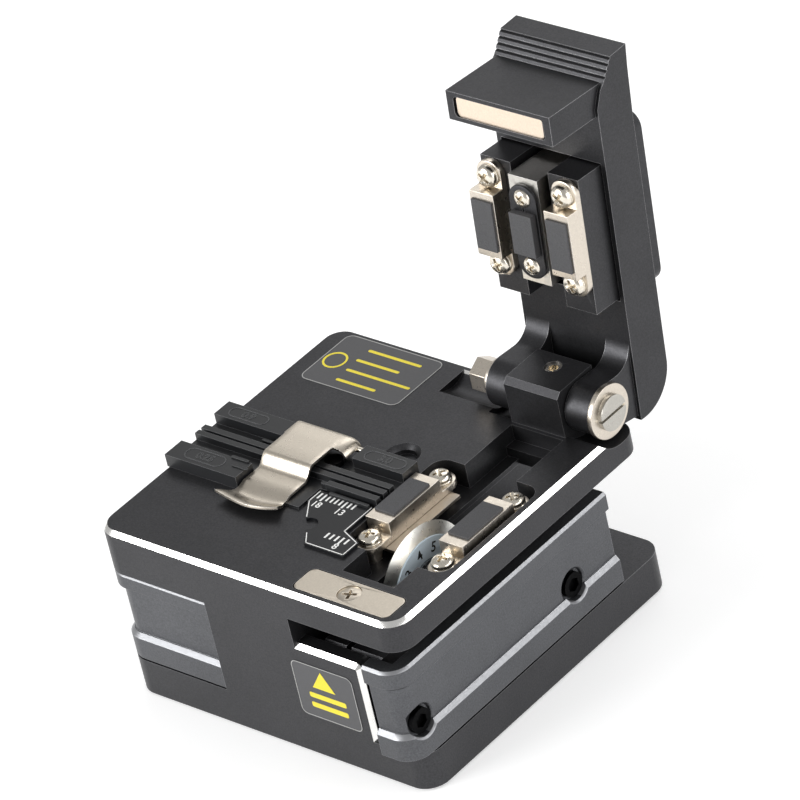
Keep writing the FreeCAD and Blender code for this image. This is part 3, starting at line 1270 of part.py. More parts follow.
def lid_cap():
    """Raised cap that closes the opening and takes the guide screws and the springs."""
    body = new_body("LidCap")
    shape = rectangle("-cap_half", "-cap_front", "cap_half", "-cap_back")
    pad(body, outline(body, "XY", "lid_top", shape), "cap_high")
    fillet(body, lambda e: runs(e, ALONG_Z), "cap_round")
    top = value("lid_top + cap_high")
    chamfer(body, lambda e: at(e, z=top), "grip_bevel")
    room = rectangle("-cap_half + cap_wall", "-mouth_front", "cap_half - cap_wall", "-mouth_back")
    pocket(body, outline(body, "XY", "lid_top", room), "cap_high - cap_roof")
    for radius, low, high in (("guide_round + side_gap", "lid_top", "cap_high"),
                              ("guide_head + side_gap", "lid_top + cap_high - guide_head_high",
                               "guide_head_high")):
        pocket(body, circles(body, "XY", low, guide_places(), radius), high)
    seats = [(x, cap_screw_place()) for x in ("-cap_screw_side", "cap_screw_side")]
    pocket(body, circles(body, "XY", "lid_top", seats, "cap_screw_round"), "cap_high")
    pocket(body, circles(body, "XY", "lid_top + cap_high - guide_head_high", seats,
                         "cap_screw_head"), "guide_head_high")
    finish(body, "lid_cap", "lid")
    seat = "lid_top + cap_high - guide_head_high"
    screws = [screw("Z", (x, y, seat), 1, "cap_screw_head", "guide_head_high - edge_break / 2",
                    "cap_screw_round", "cap_screw_long + cap_high - guide_head_high")
              for x, y in seats]
    finish(group(*screws), "lid_cap_screws", "lid")


def clamp_middle():
    """Middle of the upper clamps from the hinge axis, over the fibre."""
    return "-(hinge_back - fibre_back)"


def carrier_middle(side):
    return {"left": "-(carrier_inner + carrier_outer) / 2", "anvil": "0",
            "right": "(carrier_inner + carrier_outer) / 2"}[side]


def guide_places(sides=("left", "anvil", "right")):
    return [(carrier_middle(side), f"{clamp_middle()} {end} guide_pitch / 2")
            for side in sides for end in "-+"]


def guides(side):
    """Guide screws with their springs, drawn at pressed length, on the back of a carrier."""
    seat = "lid_top + cap_high - guide_head_high"
    reach = f"{seat} - carrier_high + guide_deep"
    screws = [screw("Z", (x, y, seat), 1, "guide_head", "guide_head_high - edge_break / 2",
                    "guide_round", reach) for x, y in guide_places((side,))]
    finish(group(*screws), f"guide_screws_{side}", "lid")
    free = "lid_top + cap_high - cap_roof - carrier_high - yield_travel - side_gap"
    springs = []
    for x, y in guide_places((side,)):
        outer = rod("Z", x, y, "carrier_high", "spring_round", free)
        inner = rod("Z", x, y, "carrier_high", "guide_round + side_gap", free)
        springs.append(cut(outer, inner))
    finish(group(*springs), f"press_springs_{side}", "lid")


def carrier_bores(body, side):
    """Threads of the guide screws in the back of a carrier."""
    pocket(body, circles(body, "XY", "carrier_high - guide_deep", guide_places((side,)),
                         "guide_round"), "guide_deep")


def upper_clamps():
    face = "fibre_high + side_gap - hinge_high"
    for side, sign in (("left", "-"), ("right", "+")):
        x = f"({sign}clamp_offset)" if sign == "-" else "clamp_offset"
        carrier = new_body("Carrier" + side.title())
        inner, outer = f"{sign}1 * carrier_inner", f"{sign}1 * carrier_outer"
        block = rectangle(inner, "-carrier_front", outer, "-carrier_back")
        back = f"{face} + foot_drop + clamp_foot"
        pad(carrier, outline(carrier, "XY", back, block), f"carrier_high - ({back})")
        holes = [(x, f"{clamp_middle()} {end} (upper_long - clamp_wide) / 2") for end in "-+"]
        pocket(carrier, circles(carrier, "XY", back, holes, "screw_shank"),
               "shank_long - clamp_foot")
        carrier_bores(carrier, side)
        finish(carrier, "carrier_" + side, "lid")
        clamp = new_body("UpperClamp" + side.title())
        bracket(clamp, x, clamp_middle(), face, -1, "upper_long", "upper_block")
        finish(clamp, "upper_clamp_" + side, "lid")
        made = rubber_pad(x, clamp_middle(), face, -1, "pad_wide", "pad_long", "pad_deep")
        finish(made, "upper_pad_" + side, "lid")
        screws = [clamp_screw(across, back_y, f"{face} + foot_drop", -1) for across, back_y in holes]
        finish(group(*screws), "upper_clamp_screws_" + side, "lid")
        guides(side)


def anvil():
    """Sprung anvil between the clamps that bends the fibre over the wheel."""
    middle = clamp_middle()
    block = new_body("AnvilBlock")
    shape = rectangle("-anvil_half", f"{middle} - anvil_long / 2", "anvil_half",
                      f"{middle} + anvil_long / 2")
    pad(block, outline(block, "XY", "anvil_face", shape), "carrier_high - anvil_face")
    screws_at = [("0", f"{middle} {end} anvil_screw_pitch / 2") for end in "-+"]
    pocket(block, circles(block, "XY", "anvil_face", screws_at, "screw_shank"),
           "shank_long - plate_thick")
    carrier_bores(block, "anvil")
    finish(block, "anvil_block", "lid")
    plate = new_body("AnvilPlate")
    shape = rectangle("-plate_half", f"{middle} - plate_long / 2", "plate_half",
                      f"{middle} + plate_long / 2")
    pad(plate, outline(plate, "XY", "anvil_face - plate_thick", shape), "plate_thick")
    fillet(plate, lambda e: runs(e, ALONG_Z), "plate_half - edge_break / 2")
    pocket(plate, circles(plate, "XY", "anvil_face - plate_thick", screws_at, "screw_shank"),
           "plate_thick")
    finish(plate, "anvil_plate", "lid")
    rubber = rubber_pad("0", middle, "anvil_face - plate_thick - anvil_pad_high", -1,
                        "anvil_pad_wide", "anvil_pad_long", "anvil_pad_high")
    finish(rubber, "anvil_pad", "lid")
    screws = [screw("Z", (x, y, "anvil_face - plate_thick"), -1, "anvil_head", "anvil_head_high",
                    "screw_shank", "shank_long") for x, y in screws_at]
    finish(group(*screws), "anvil_screws", "lid")
    guides("anvil")


# ---- Everything ---------------------------------------------------------------------------------------

for make in (main_body, rubber_feet, left_grip, left_grip_screws, side_cover, side_cover_screws,
             linear_rail, rail_screws, bearing_block, carriage_block, carriage_screws, blade_parts,
             lower_clamps, clamp_guard, keeper_plate, scale_plate, fibre_holder, holder_screws,
             fibre_clip, hinge_hardware, lid_frame, lid_cap, upper_clamps, anvil):
    make()
doc.recompute()

for thing in doc.Objects:
    assert "Invalid" not in thing.State and "Error" not in thing.State, f"{thing.Label} failed"
os.makedirs("parts", exist_ok=True)
for node in nodes:
    shape = node.Shape
    assert not shape.isNull() and shape.isValid(), f"{node.Label} has no valid shape"
    shape.exportStep(f"parts/{node.Label}.step")
    print(f"{node.Label}: {len(shape.Solids)} solids, {shape.Volume:.1f} cubic millimetres")
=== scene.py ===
import math

import bmesh
import bpy
from mathutils import Matrix, Vector


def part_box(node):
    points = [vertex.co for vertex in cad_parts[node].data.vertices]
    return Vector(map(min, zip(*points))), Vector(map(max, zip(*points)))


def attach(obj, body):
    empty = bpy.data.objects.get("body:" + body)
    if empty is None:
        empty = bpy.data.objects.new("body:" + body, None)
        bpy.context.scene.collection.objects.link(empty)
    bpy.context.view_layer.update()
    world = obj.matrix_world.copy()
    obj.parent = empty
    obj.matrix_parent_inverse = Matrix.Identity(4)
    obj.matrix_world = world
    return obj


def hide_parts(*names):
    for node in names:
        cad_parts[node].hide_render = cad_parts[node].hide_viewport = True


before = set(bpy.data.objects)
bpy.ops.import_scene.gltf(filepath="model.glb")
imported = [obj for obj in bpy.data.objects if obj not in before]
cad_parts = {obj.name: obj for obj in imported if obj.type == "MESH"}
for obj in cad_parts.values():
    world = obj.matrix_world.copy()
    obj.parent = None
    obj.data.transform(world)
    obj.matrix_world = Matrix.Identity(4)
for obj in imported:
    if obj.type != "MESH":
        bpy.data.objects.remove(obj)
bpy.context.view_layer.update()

# ---- Camera ---------------------------------------------------------------------------------
# A long lens from the front right and above, rolled a little, so that the deck, the blade
# carriage and the raised lid all show with hardly any perspective.
eye = Vector((0.628387, -0.569952, 0.601509))
azimuth, elevation, roll = math.radians(47.233), math.radians(33.247), math.radians(-13.307)
back = Vector((math.sin(azimuth) * math.cos(elevation), -math.cos(azimuth) * math.cos(elevation),
               math.sin(elevation)))
camera = bpy.data.objects.new("camera", bpy.data.cameras.new("camera"))
camera.data.lens = 283.376
camera.data.sensor_width = 36
camera.data.clip_start, camera.data.clip_end = 0.05, 20
turned = (-back).to_track_quat("-Z", "Y").to_matrix() @ Matrix.Rotation(roll, 3, "Z")
camera.matrix_world = Matrix.Translation(eye) @ turned.to_4x4()
bpy.context.scene.collection.objects.link(camera)
bpy.context.scene.camera = camera
bpy.context.scene.view_settings.view_transform = "Standard"


# ---- Floor, backdrop and studio light -------------------------------------------------------
# A seamless white table: the object stands on it and leaves a soft shadow. Large soft boxes
# light the object plainly, and the white of the room shows in the polished metal.
TABLE_GLOW = 0.42
TABLE_REACH = 6.0
ROOM_LOW, ROOM_HIGH = 0.46, 0.47
LAMP_AIM = (0.0, 0.0, 0.04)


def hex_colour(text):
    """sRGB hex to linear, with alpha."""
    parts = [int(text[i:i + 2], 16) / 255 for i in (1, 3, 5)]
    return (*((c / 12.92 if c <= 0.04045 else ((c + 0.055) / 1.055) ** 2.4) for c in parts), 1)


def add(tree, kind, links=None, **settings):
    """Adds a node. links: input name or number to a value or to another node's socket."""
    made = tree.nodes.new(kind)
    for name, value in settings.items():
        setattr(made, name, value)
    for name, value in (links or {}).items():
        socket = made.inputs[name]
        if isinstance(value, bpy.types.NodeSocket):
            tree.links.new(value, socket)
        else:
            socket.default_value = value
    return made


def new_material(name):
    made = bpy.data.materials.new(name)
    made.use_nodes = True
    made.node_tree.nodes.clear()
    return made, made.node_tree


table_white, tree = new_material("table_white_paper")
path = add(tree, "ShaderNodeLightPath")
seen = add(tree, "ShaderNodeMath", {0: path.outputs["Is Camera Ray"],
                                    1: path.outputs["Is Glossy Ray"]}, operation="MAXIMUM")
seen = add(tree, "ShaderNodeMath", {0: seen.outputs[0],
                                    1: path.outputs["Is Transmission Ray"]}, operation="MAXIMUM")
paper = add(tree, "ShaderNodeBsdfDiffuse", {"Color": hex_colour("#e8e8e8")})
lift = add(tree, "ShaderNodeMath", {0: seen.outputs[0], 1: TABLE_GLOW}, operation="MULTIPLY")
glow = add(tree, "ShaderNodeEmission", {"Color": (1, 1, 1, 1), "Strength": lift.outputs[0]})
both = add(tree, "ShaderNodeAddShader", {0: paper.outputs[0], 1: glow.outputs[0]})
add(tree, "ShaderNodeOutputMaterial", {"Surface": both.outputs[0]})

floor_mesh = bpy.data.meshes.new("floor")
floor_mesh.from_pydata([(x * TABLE_REACH, y * TABLE_REACH, 0) for x, y in
                        ((-1, -1), (1, -1), (1, 1), (-1, 1))], [], [(0, 1, 2, 3)])
floor = bpy.data.objects.new("floor", floor_mesh)
floor.data.materials.append(table_white)
bpy.context.scene.collection.objects.link(floor)

world = bpy.data.worlds.new("studio")
bpy.context.scene.world = world
world.use_nodes = True
tree = world.node_tree
tree.nodes.clear()
path = add(tree, "ShaderNodeLightPath")
where = add(tree, "ShaderNodeTexCoord")
split = add(tree, "ShaderNodeSeparateXYZ", {0: where.outputs["Generated"]})
height = add(tree, "ShaderNodeMapRange", {"Value": split.outputs["Z"], "From Min": -0.1,
                                          "From Max": 0.9, "To Min": ROOM_LOW,
                                          "To Max": ROOM_HIGH})
strength = add(tree, "ShaderNodeMix", {"Factor": path.outputs["Is Camera Ray"],
                                       2: height.outputs[0], 3: 1.0})
room = add(tree, "ShaderNodeBackground", {"Color": (1, 1, 1, 1), "Strength": strength.outputs[0]})
add(tree, "ShaderNodeOutputWorld", {"Surface": room.outputs[0]})


def soft_box(name, place, size, watts):
    """A rectangular lamp that faces the middle of the object."""
    lamp = bpy.data.lights.new(name, "AREA")
    lamp.shape = "RECTANGLE"
    lamp.size, lamp.size_y = size
    lamp.energy = watts
    made = bpy.data.objects.new(name, lamp)
    made.location = place
    made.rotation_mode = "QUATERNION"
    made.rotation_quaternion = (Vector(LAMP_AIM) - Vector(place)).to_track_quat("-Z", "Y")
    bpy.context.scene.collection.objects.link(made)


soft_box("key_front_left", (-0.45, -0.8, 0.4), (0.6, 0.6), 7.8)
soft_box("fill_right", (0.98, 0.05, 0.3), (1.1, 0.9), 6.4)
soft_box("top_rear", (-0.3, 0.75, 0.7), (0.8, 0.4), 1.7)
soft_box("rim_rear_right", (0.62, 0.62, 0.7), (0.3, 0.3), 1.3)


# ---- Body: black anodised aluminium ---------------------------------------------------------
# The base, the deck and the knuckle are milled from one aluminium block, bead blasted and
# anodised black. The edge of the deck and of the front wall is cut again after anodising, so
# a bright bare chamfer runs round them. The blasting gives a fine satin grain.
MM = 0.001
WEAR_AND_HIGHLIGHT_WIDTH = 0.1 * MM


def grain(tree, size, low, high, detail=3.0):
    """Noise whose spots are about size metres wide, mapped to low..high."""
    where = add(tree, "ShaderNodeTexCoord")
    noise = add(tree, "ShaderNodeTexNoise", {"Vector": where.outputs["Object"], "Scale": 1 / size,
                                             "Detail": detail, "Roughness": 0.6})
    return add(tree, "ShaderNodeMapRange", {"Value": noise.outputs[0], "From Min": 0.3,
                                            "From Max": 0.7, "To Min": low, "To Max": high})


def worn_edge(tree, width, least=0.02, most=0.16):
    """1 along sharp edges, 0 elsewhere: the difference between the true and a rounded normal. The
    lighter edge colour laid there is partly wear and partly a painted highlight.
    """
    true = add(tree, "ShaderNodeNewGeometry")
    eased = add(tree, "ShaderNodeBevel", {"Radius": width}, samples=6)
    alike = add(tree, "ShaderNodeVectorMath", {0: true.outputs["Normal"], 1: eased.outputs[0]},
                operation="DOT_PRODUCT")
    return add(tree, "ShaderNodeMapRange", {"Value": alike.outputs["Value"], "From Min": 1 - least,
                                            "From Max": 1 - most, "To Min": 0.0, "To Max": 1.0})


def between(tree, socket, low, high):
    """1 where the socket's value lies between low and high, 0 elsewhere."""
    above = add(tree, "ShaderNodeMath", {0: socket, 1: low}, operation="GREATER_THAN")
    below = add(tree, "ShaderNodeMath", {0: socket, 1: high}, operation="LESS_THAN")
    return add(tree, "ShaderNodeMath", {0: above.outputs[0], 1: below.outputs[0]},
               operation="MULTIPLY").outputs[0]


def own_normal(tree):
    """The face's true normal in the piece's own axes, split into X, Y and Z."""
    true = add(tree, "ShaderNodeNewGeometry")
    turn = add(tree, "ShaderNodeVectorTransform", {0: true.outputs["True Normal"]},
               vector_type="NORMAL", convert_from="WORLD", convert_to="OBJECT")
    return add(tree, "ShaderNodeSeparateXYZ", {0: turn.outputs[0]})


def tinted(tree, colour, tone, rim=None, edge=None):
    """The colour times a tone, and the edge's colour where rim is 1."""
    tint = add(tree, "ShaderNodeVectorMath", {0: hex_colour(colour)[:3], "Scale": tone},
               operation="SCALE")
    if rim is None:
        return tint.outputs[0]
    return add(tree, "ShaderNodeMix", {"Factor": rim, 6: tint.outputs[0], 7: hex_colour(edge)},
               data_type="RGBA").outputs[2]


def sloped_up(tree):
    """1 on faces that slope upwards, 0 on level and upright ones: where a highlight is painted."""
    return between(tree, own_normal(tree).outputs["Z"], 0.35, 0.95)


def anodised(name, colour, edge, rough, bright=None, slope_highlight=False):
    """Bead blasted and dyed oxide: satin metal, fine grain, and a lighter line at the edges,
    partly wear and partly a painted highlight.
    bright gives a mask of bare cut faces; the last option paints a highlight on the faces that
    slope upwards."""
    made, tree = new_material(name)
    fine = grain(tree, 0.28 * MM, 0.8, 1.2)
    broad = grain(tree, 9 * MM, 0.94, 1.06, detail=2.0)
    tone = add(tree, "ShaderNodeMath", {0: fine.outputs[0], 1: broad.outputs[0]},
               operation="MULTIPLY")
    # The lighter line at the edges is partly wear and partly a painted highlight.
    rim = worn_edge(tree, 0.18 * MM)
    # Painted highlight: faces that slope upwards get the lighter edge colour.
    if slope_highlight:
        rim = add(tree, "ShaderNodeMath", {0: rim.outputs[0], 1: sloped_up(tree)},
                  operation="MAXIMUM")
    shade = tinted(tree, colour, tone.outputs[0], rim.outputs[0], edge)
    bump = add(tree, "ShaderNodeBump", {"Height": fine.outputs[0], "Strength": 0.10,
                                        "Distance": 0.02 * MM})
    smooth = grain(tree, 0.6 * MM, rough - 0.04, rough + 0.04)
    face = add(tree, "ShaderNodeBsdfPrincipled", {
        "Base Color": shade, "Metallic": 0.85, "Roughness": smooth.outputs[0],
        "Normal": bump.outputs[0]})
    surface = face.outputs[0]
    if bright:
        cut = add(tree, "ShaderNodeBsdfPrincipled", {"Base Color": hex_colour("#f4f3f0"),
                                                     "Metallic": 1.0, "Roughness": 0.22})
        surface = add(tree, "ShaderNodeMixShader", {0: bright(tree), 1: surface,
                                                    2: cut.outputs[0]}).outputs[0]
    add(tree, "ShaderNodeOutputMaterial", {"Surface": surface})
    return made


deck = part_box("keeper_plate")[1].z
body_low, body_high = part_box("main_body")


def all_of(tree, first, *others):
    """The product of masks: 1 where all of them are."""
    for other in others:
        first = add(tree, "ShaderNodeMath", {0: first, 1: other},
                    operation="MULTIPLY").outputs[0]
    return first


def deck_chamfers(tree):
    """1 on the 45 degree faces at the deck's edge and at the front wall's top and right end."""
    slope_low, slope_high = 0.6, 0.8   # either side of the cosine of 45 degrees
    rim_wide = 2 * MM
    chamfer = 0.8 * MM
    wall_left, wall_right = 6 * MM, 30 * MM
    spread = add(tree, "ShaderNodeTexCoord")
    place = add(tree, "ShaderNodeSeparateXYZ", {0: spread.outputs["Object"]}).outputs
    lean = own_normal(tree).outputs
    round_deck = all_of(tree, between(tree, lean["Z"], slope_low, slope_high),
                        between(tree, place["Z"], deck - chamfer, deck + 0.02 * MM))
    inner = all_of(tree, between(tree, place["X"], body_low.x + rim_wide, body_high.x - rim_wide),
                   between(tree, place["Y"], body_low.y + rim_wide, body_high.y - rim_wide))
    round_deck = add(tree, "ShaderNodeMath", {0: round_deck, 1: inner}, operation="SUBTRACT",
                     use_clamp=True)
    wall = all_of(tree, between(tree, place["Y"], body_low.y - 0.1 * MM, body_low.y + chamfer),
                  between(tree, lean["Y"], -slope_high, -slope_low),
                  between(tree, place["Z"], 0, deck - rim_wide),
                  between(tree, place["X"], wall_left, wall_right))
    return add(tree, "ShaderNodeMath", {0: round_deck.outputs[0], 1: wall},
               operation="MAXIMUM").outputs[0]


black_body = anodised("black_anodised_aluminium_cut_edge", "#434345", "#868688", 0.42,
                      bright=deck_chamfers)
black_lid = anodised("black_anodised_aluminium", "#3e3e40", "#9c9c9e", 0.40)


def bevelled(part, name, width, segments, angle):
    """A bevel modifier on edges sharper than the angle."""
    edge = part.modifiers.new(name, "BEVEL")
    edge.width = width
    edge.segments = segments
    edge.limit_method = "ANGLE"
    edge.angle_limit = math.radians(angle)
    return edge


def soften(width, *names):
    """Breaks the sharp edges of machined parts, as tumbling or deburring does."""
    for name in names:
        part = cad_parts[name]
        part.modifiers.new("weld", "WELD").merge_threshold = 0.001 * MM
        edge = bevelled(part, "edge_break", width, 2, 28)
        edge.harden_normals = False
        edge.use_clamp_overlap = True
        even = part.modifiers.new("even_normals", "WEIGHTED_NORMAL")
        even.keep_sharp = False
        even.weight = 80


def dress(material, *names):
    """Gives the CAD nodes this material."""
    for name in names:
        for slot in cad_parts[name].material_slots:
            slot.link = "OBJECT"
            slot.material = material


dress(black_body, "main_body")
dress(black_lid, "lid_frame", "lid_cap", "carriage_block", "carrier_left", "carrier_right",
      "anvil_plate")
soften(0.12 * MM, "main_body", "lid_frame", "lid_cap", "carriage_block", "carrier_left",
       "carrier_right", "anvil_block", "anvil_plate")

# ---- Side cover and left grip ---------------------------------------------------------------
# Milled aluminium panels with a finger groove, anodised a lighter grey. A highlight is painted
# # on their upward sloping faces, so they look paler than the upright ones.
grey_panel = anodised("grey_anodised_aluminium", "#5c5d60", "#98999c", 0.38, slope_highlight=True)
dress(grey_panel, "side_cover", "left_grip")
soften(0.12 * MM, "side_cover", "left_grip")

# ---- Metal, rubber and plastic parts --------------------------------------------------------
# The clamps, the clip and most screws are nickel plated, the hinge pin and the rail are bare
# steel, and the strip beside the blade is bronze. Pads and feet are rubber, and the fibre
# holder is moulded nylon.
def metal(name, colour, rough, grit=0.3 * MM, vary=0.06, wear_and_highlight=None, edge=None):
    """Plated or bare metal with a fine change of tone, and brighter edges: partly wear, partly a
    painted highlight.
    """
    made, tree = new_material(name)
    fine = grain(tree, grit, 1 - vary, 1 + vary)
    rim = worn_edge(tree, wear_and_highlight).outputs[0] if wear_and_highlight else None
    smooth = grain(tree, 0.8 * MM, rough - 0.04, rough + 0.04)
    face = add(tree, "ShaderNodeBsdfPrincipled", {
        "Base Color": tinted(tree, colour, fine.outputs[0], rim, edge), "Metallic": 1.0,
        "Roughness": smooth.outputs[0]})
    add(tree, "ShaderNodeOutputMaterial", {"Surface": face.outputs[0]})
    return made


def plain(name, colour, rough, grit=0.3 * MM, vary=0.06, specular=0.5, wear_and_highlight=None, edge=None):
    """Rubber, plastic, lacquer or ink with a slight grain, and lighter edges if asked: partly
    wear, partly a painted highlight.
    """
    made, tree = new_material(name)
    fine = grain(tree, grit, 1 - vary, 1 + vary)
    rim = worn_edge(tree, wear_and_highlight).outputs[0] if wear_and_highlight else None
    bump = add(tree, "ShaderNodeBump", {"Height": fine.outputs[0], "Strength": 0.3,
                                        "Distance": 0.02 * MM})
    face = add(tree, "ShaderNodeBsdfPrincipled", {
        "Base Color": tinted(tree, colour, fine.outputs[0], rim, edge), "Roughness": rough,
        "Normal": bump.outputs[0], "Specular IOR Level": specular})
    add(tree, "ShaderNodeOutputMaterial", {"Surface": face.outputs[0]})
    return made


# The edge colours below are partly worn metal and partly a painted highlight along the edges.
nickel = metal("nickel_plated_steel", "#d6cdc0", 0.3, wear_and_highlight=WEAR_AND_HIGHLIGHT_WIDTH, edge="#ffffff")
satin_nickel = metal("satin_nickel_plate", "#c9c0b2", 0.34, wear_and_highlight=WEAR_AND_HIGHLIGHT_WIDTH, edge="#fbf8f2")
magnet_plate = metal("nickel_plated_magnet", "#e4d3c0", 0.36, wear_and_highlight=WEAR_AND_HIGHLIGHT_WIDTH, edge="#ffffff")
screw_nickel = metal("nickel_plated_screw", "#e4ddd0", 0.22)
hinge_steel = metal("turned_stainless_steel", "#b9b6af", 0.3)
rail_steel = metal("ground_bearing_steel", "#b9bbbd", 0.25)
black_screw = metal("blackened_steel_screw", "#1e1e20", 0.42)
# Near black, darker than the other black screws: painted shade of the deep bores that these screws
# sit in.
black_screw_painted_bore_shade = metal("black_screw_with_painted_bore_shade", "#0a0a0b", 0.6)
milled = metal("bare_milled_aluminium", "#cfccc5", 0.32, grit=0.5 * MM, wear_and_highlight=WEAR_AND_HIGHLIGHT_WIDTH,
               edge="#ffffff")
bronze = metal("bronze_strip", "#a0988e", 0.36, wear_and_highlight=0.12 * MM, edge="#f6f0e6")
carbide = metal("ground_carbide", "#f0efe9", 0.3, grit=1.6 * MM, vary=0.03)
steel_spring = metal("spring_steel", "#b4b4b2", 0.3)
pad_rubber = plain("clamp_rubber", "#4b4b4d", 0.62, grit=0.16 * MM, vary=0.3)
foot_rubber = plain("foot_rubber", "#262626", 0.7)
holder_plastic = plain("moulded_black_nylon", "#1c1d1f", 0.38, grit=0.4 * MM, wear_and_highlight=0.12 * MM,
                       edge="#77787a")
dial_metal = plain("dial_blue_lacquer", "#cddbe6", 0.4, vary=0.02)
scale_black = plain("scale_black_lacquer", "#101114", 0.34, specular=0.35)

dress(nickel, "lower_clamp_left", "lower_clamp_right", "upper_clamp_left", "upper_clamp_right",
      "clamp_posts", "fibre_clip", "hinge_nut", "hinge_washers")
dress(satin_nickel, "keeper_plate")
dress(magnet_plate, "lid_magnet")
dress(screw_nickel, "lower_clamp_screws", "upper_clamp_screws_left", "upper_clamp_screws_right",
      "anvil_screws", "keeper_screw", "clip_pin", "knuckle_set_screw")
dress(milled, "anvil_block")
dress(hinge_steel, "hinge_pin")
dress(rail_steel, "linear_rail", "bearing_block", "blade_axle", "blade_screw", "blade_hub")
# These screws also stand in for the dark of their bores: painted shade.
dress(black_screw_painted_bore_shade, "side_cover_screws", "left_grip_screws")
dress(black_screw, "lid_cap_screws", "rail_screws", "carriage_screws", "holder_screws",
      "guide_screws_left", "guide_screws_right", "guide_screws_anvil")
dress(bronze, "clamp_guard")
dress(carbide, "cutting_wheel")
dress(steel_spring, "press_springs_left", "press_springs_right", "press_springs_anvil")
dress(pad_rubber, "lower_pad_left", "lower_pad_right", "upper_pad_left", "upper_pad_right",
      "anvil_pad")
dress(foot_rubber, "rubber_feet")
dress(holder_plastic, "fibre_holder")
dress(dial_metal, "number_ring")
dress(scale_black, "scale_plate")
soften(0.1 * MM, "lower_clamp_left", "lower_clamp_right", "upper_clamp_left",
       "upper_clamp_right", "keeper_plate", "clamp_guard", "fibre_holder", "hinge_nut",
       "hinge_washers", "hinge_pin", "lower_pad_left", "lower_pad_right", "upper_pad_left",
       "upper_pad_right", "anvil_pad", "lid_magnet")

# ---- Pieces made here -----------------------------------------------------------------------
# Print, clip and screw heads are made from outlines in millimetres, counted from the front
# left corner of the deck.
left, front = body_low.x, body_low.y


def spot(x, y, z=0.0):
    """A place in millimetres from the front left corner of the deck, z above it."""
    return Vector((left + x * MM, front + y * MM, deck + z * MM))


def place_piece(name, mesh, material, body, smooth=False):
    """Puts a mesh into the scene on one body, with its material slot."""
    made = bpy.data.objects.new(name, mesh)
    bpy.context.scene.collection.objects.link(made)
    mesh.materials.clear()
    mesh.materials.append(material)
    for face in mesh.polygons:
        face.use_smooth = smooth
    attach(made, body)
    return made


def rounded(low, high, radius, steps=6):
    """Corners of a rounded rectangle in two dimensions, anticlockwise."""
    corners = []
    near_x, near_y, far_x, far_y = (low[0] + radius, low[1] + radius, high[0] - radius,
                                    high[1] - radius)
    for cx, cy, start in ((far_x, near_y, -90), (far_x, far_y, 0), (near_x, far_y, 90),
                          (near_x, near_y, 180)):
        for step in range(steps + 1):
            turn = math.radians(start + 90 * step / steps)
            corners.append((cx + radius * math.cos(turn), cy + radius * math.sin(turn)))
    return corners


def slab(bm, outline, thick, to_world):
    """A prism over a closed outline; to_world maps (a, b, height) to a place."""
    low = [bm.verts.new(to_world(a, b, 0)) for a, b in outline]
    high = [bm.verts.new(to_world(a, b, thick)) for a, b in outline]
    count = len(outline)
    bm.faces.new(high)
    bm.faces.new(low[::-1])
    for k in range(count):
        bm.faces.new((low[k], low[(k + 1) % count], high[(k + 1) % count], high[k]))


def frame_slab(bm, outer, inner, thick, to_world):
    """A flat frame between two outlines with as many corners."""
    rings = [[bm.verts.new(to_world(a, b, h)) for a, b in line]
             for line in (outer, inner) for h in (0, thick)]
    low_out, high_out, low_in, high_in = rings
    count = len(outer)
    for k in range(count):
        n = (k + 1) % count
        bm.faces.new((high_out[k], high_out[n], high_in[n], high_in[k]))
        bm.faces.new((low_out[n], low_out[k], low_in[k], low_in[n]))
        bm.faces.new((low_out[k], low_out[n], high_out[n], high_out[k]))
        bm.faces.new((low_in[n], low_in[k], high_in[k], high_in[n]))


def inset(corner, by):
    """A corner moved by that much along both axes."""
    return corner[0] + by, corner[1] + by


def mesh_from(bm, name):
    bmesh.ops.recalc_face_normals(bm, faces=bm.faces)
    mesh = bpy.data.meshes.new(name)
    bm.to_mesh(mesh)
    bm.free()
    return mesh


# ---- Printed labels -------------------------------------------------------------------------
# Two dark polyester films, one on the deck and one on the front wall, each with a thin pale
# line round it. They carry plain marks only: a ring with ruled lines, and an upward triangle.
FILM = 0.06
INK = 0.03
film_dark = plain("label_polyester_film", "#4e4e50", 0.46, grit=0.5 * MM, vary=0.04)
ink_pale = plain("pale_screen_ink", "#a9a9a7", 0.5)
ink_yellow = plain("yellow_screen_ink", "#f2df3e", 0.5, vary=0.03)


def on_front(a, b, h):
    """a to the right, b up from the underside, h out of the front wall."""
    return Vector((left + a * MM, front - h * MM, body_low.z + b * MM))


def on_deck_film(a, b, h):
    return spot(a, b, FILM + h)


def on_front_film(a, b, h):
    return on_front(a, b, FILM + h)


def label(name, low, high, radius, line, on_face, on_film):
    """A film with rounded corners and a printed line of that width round it."""
    bm = bmesh.new()
    slab(bm, rounded(low, high, radius), FILM, on_face)
    place_piece(name, mesh_from(bm, name), film_dark, "body")
    bm = bmesh.new()
    frame_slab(bm, rounded(low, high, radius),
               rounded(inset(low, line), inset(high, -line), radius - line), INK, on_film)
    place_piece(f"{name}_edge", mesh_from(bm, f"{name}_edge"), ink_pale, "body")


def bar(bm, low, high, radius, on_film):
    slab(bm, rounded(low, high, radius, 4), INK, on_film)


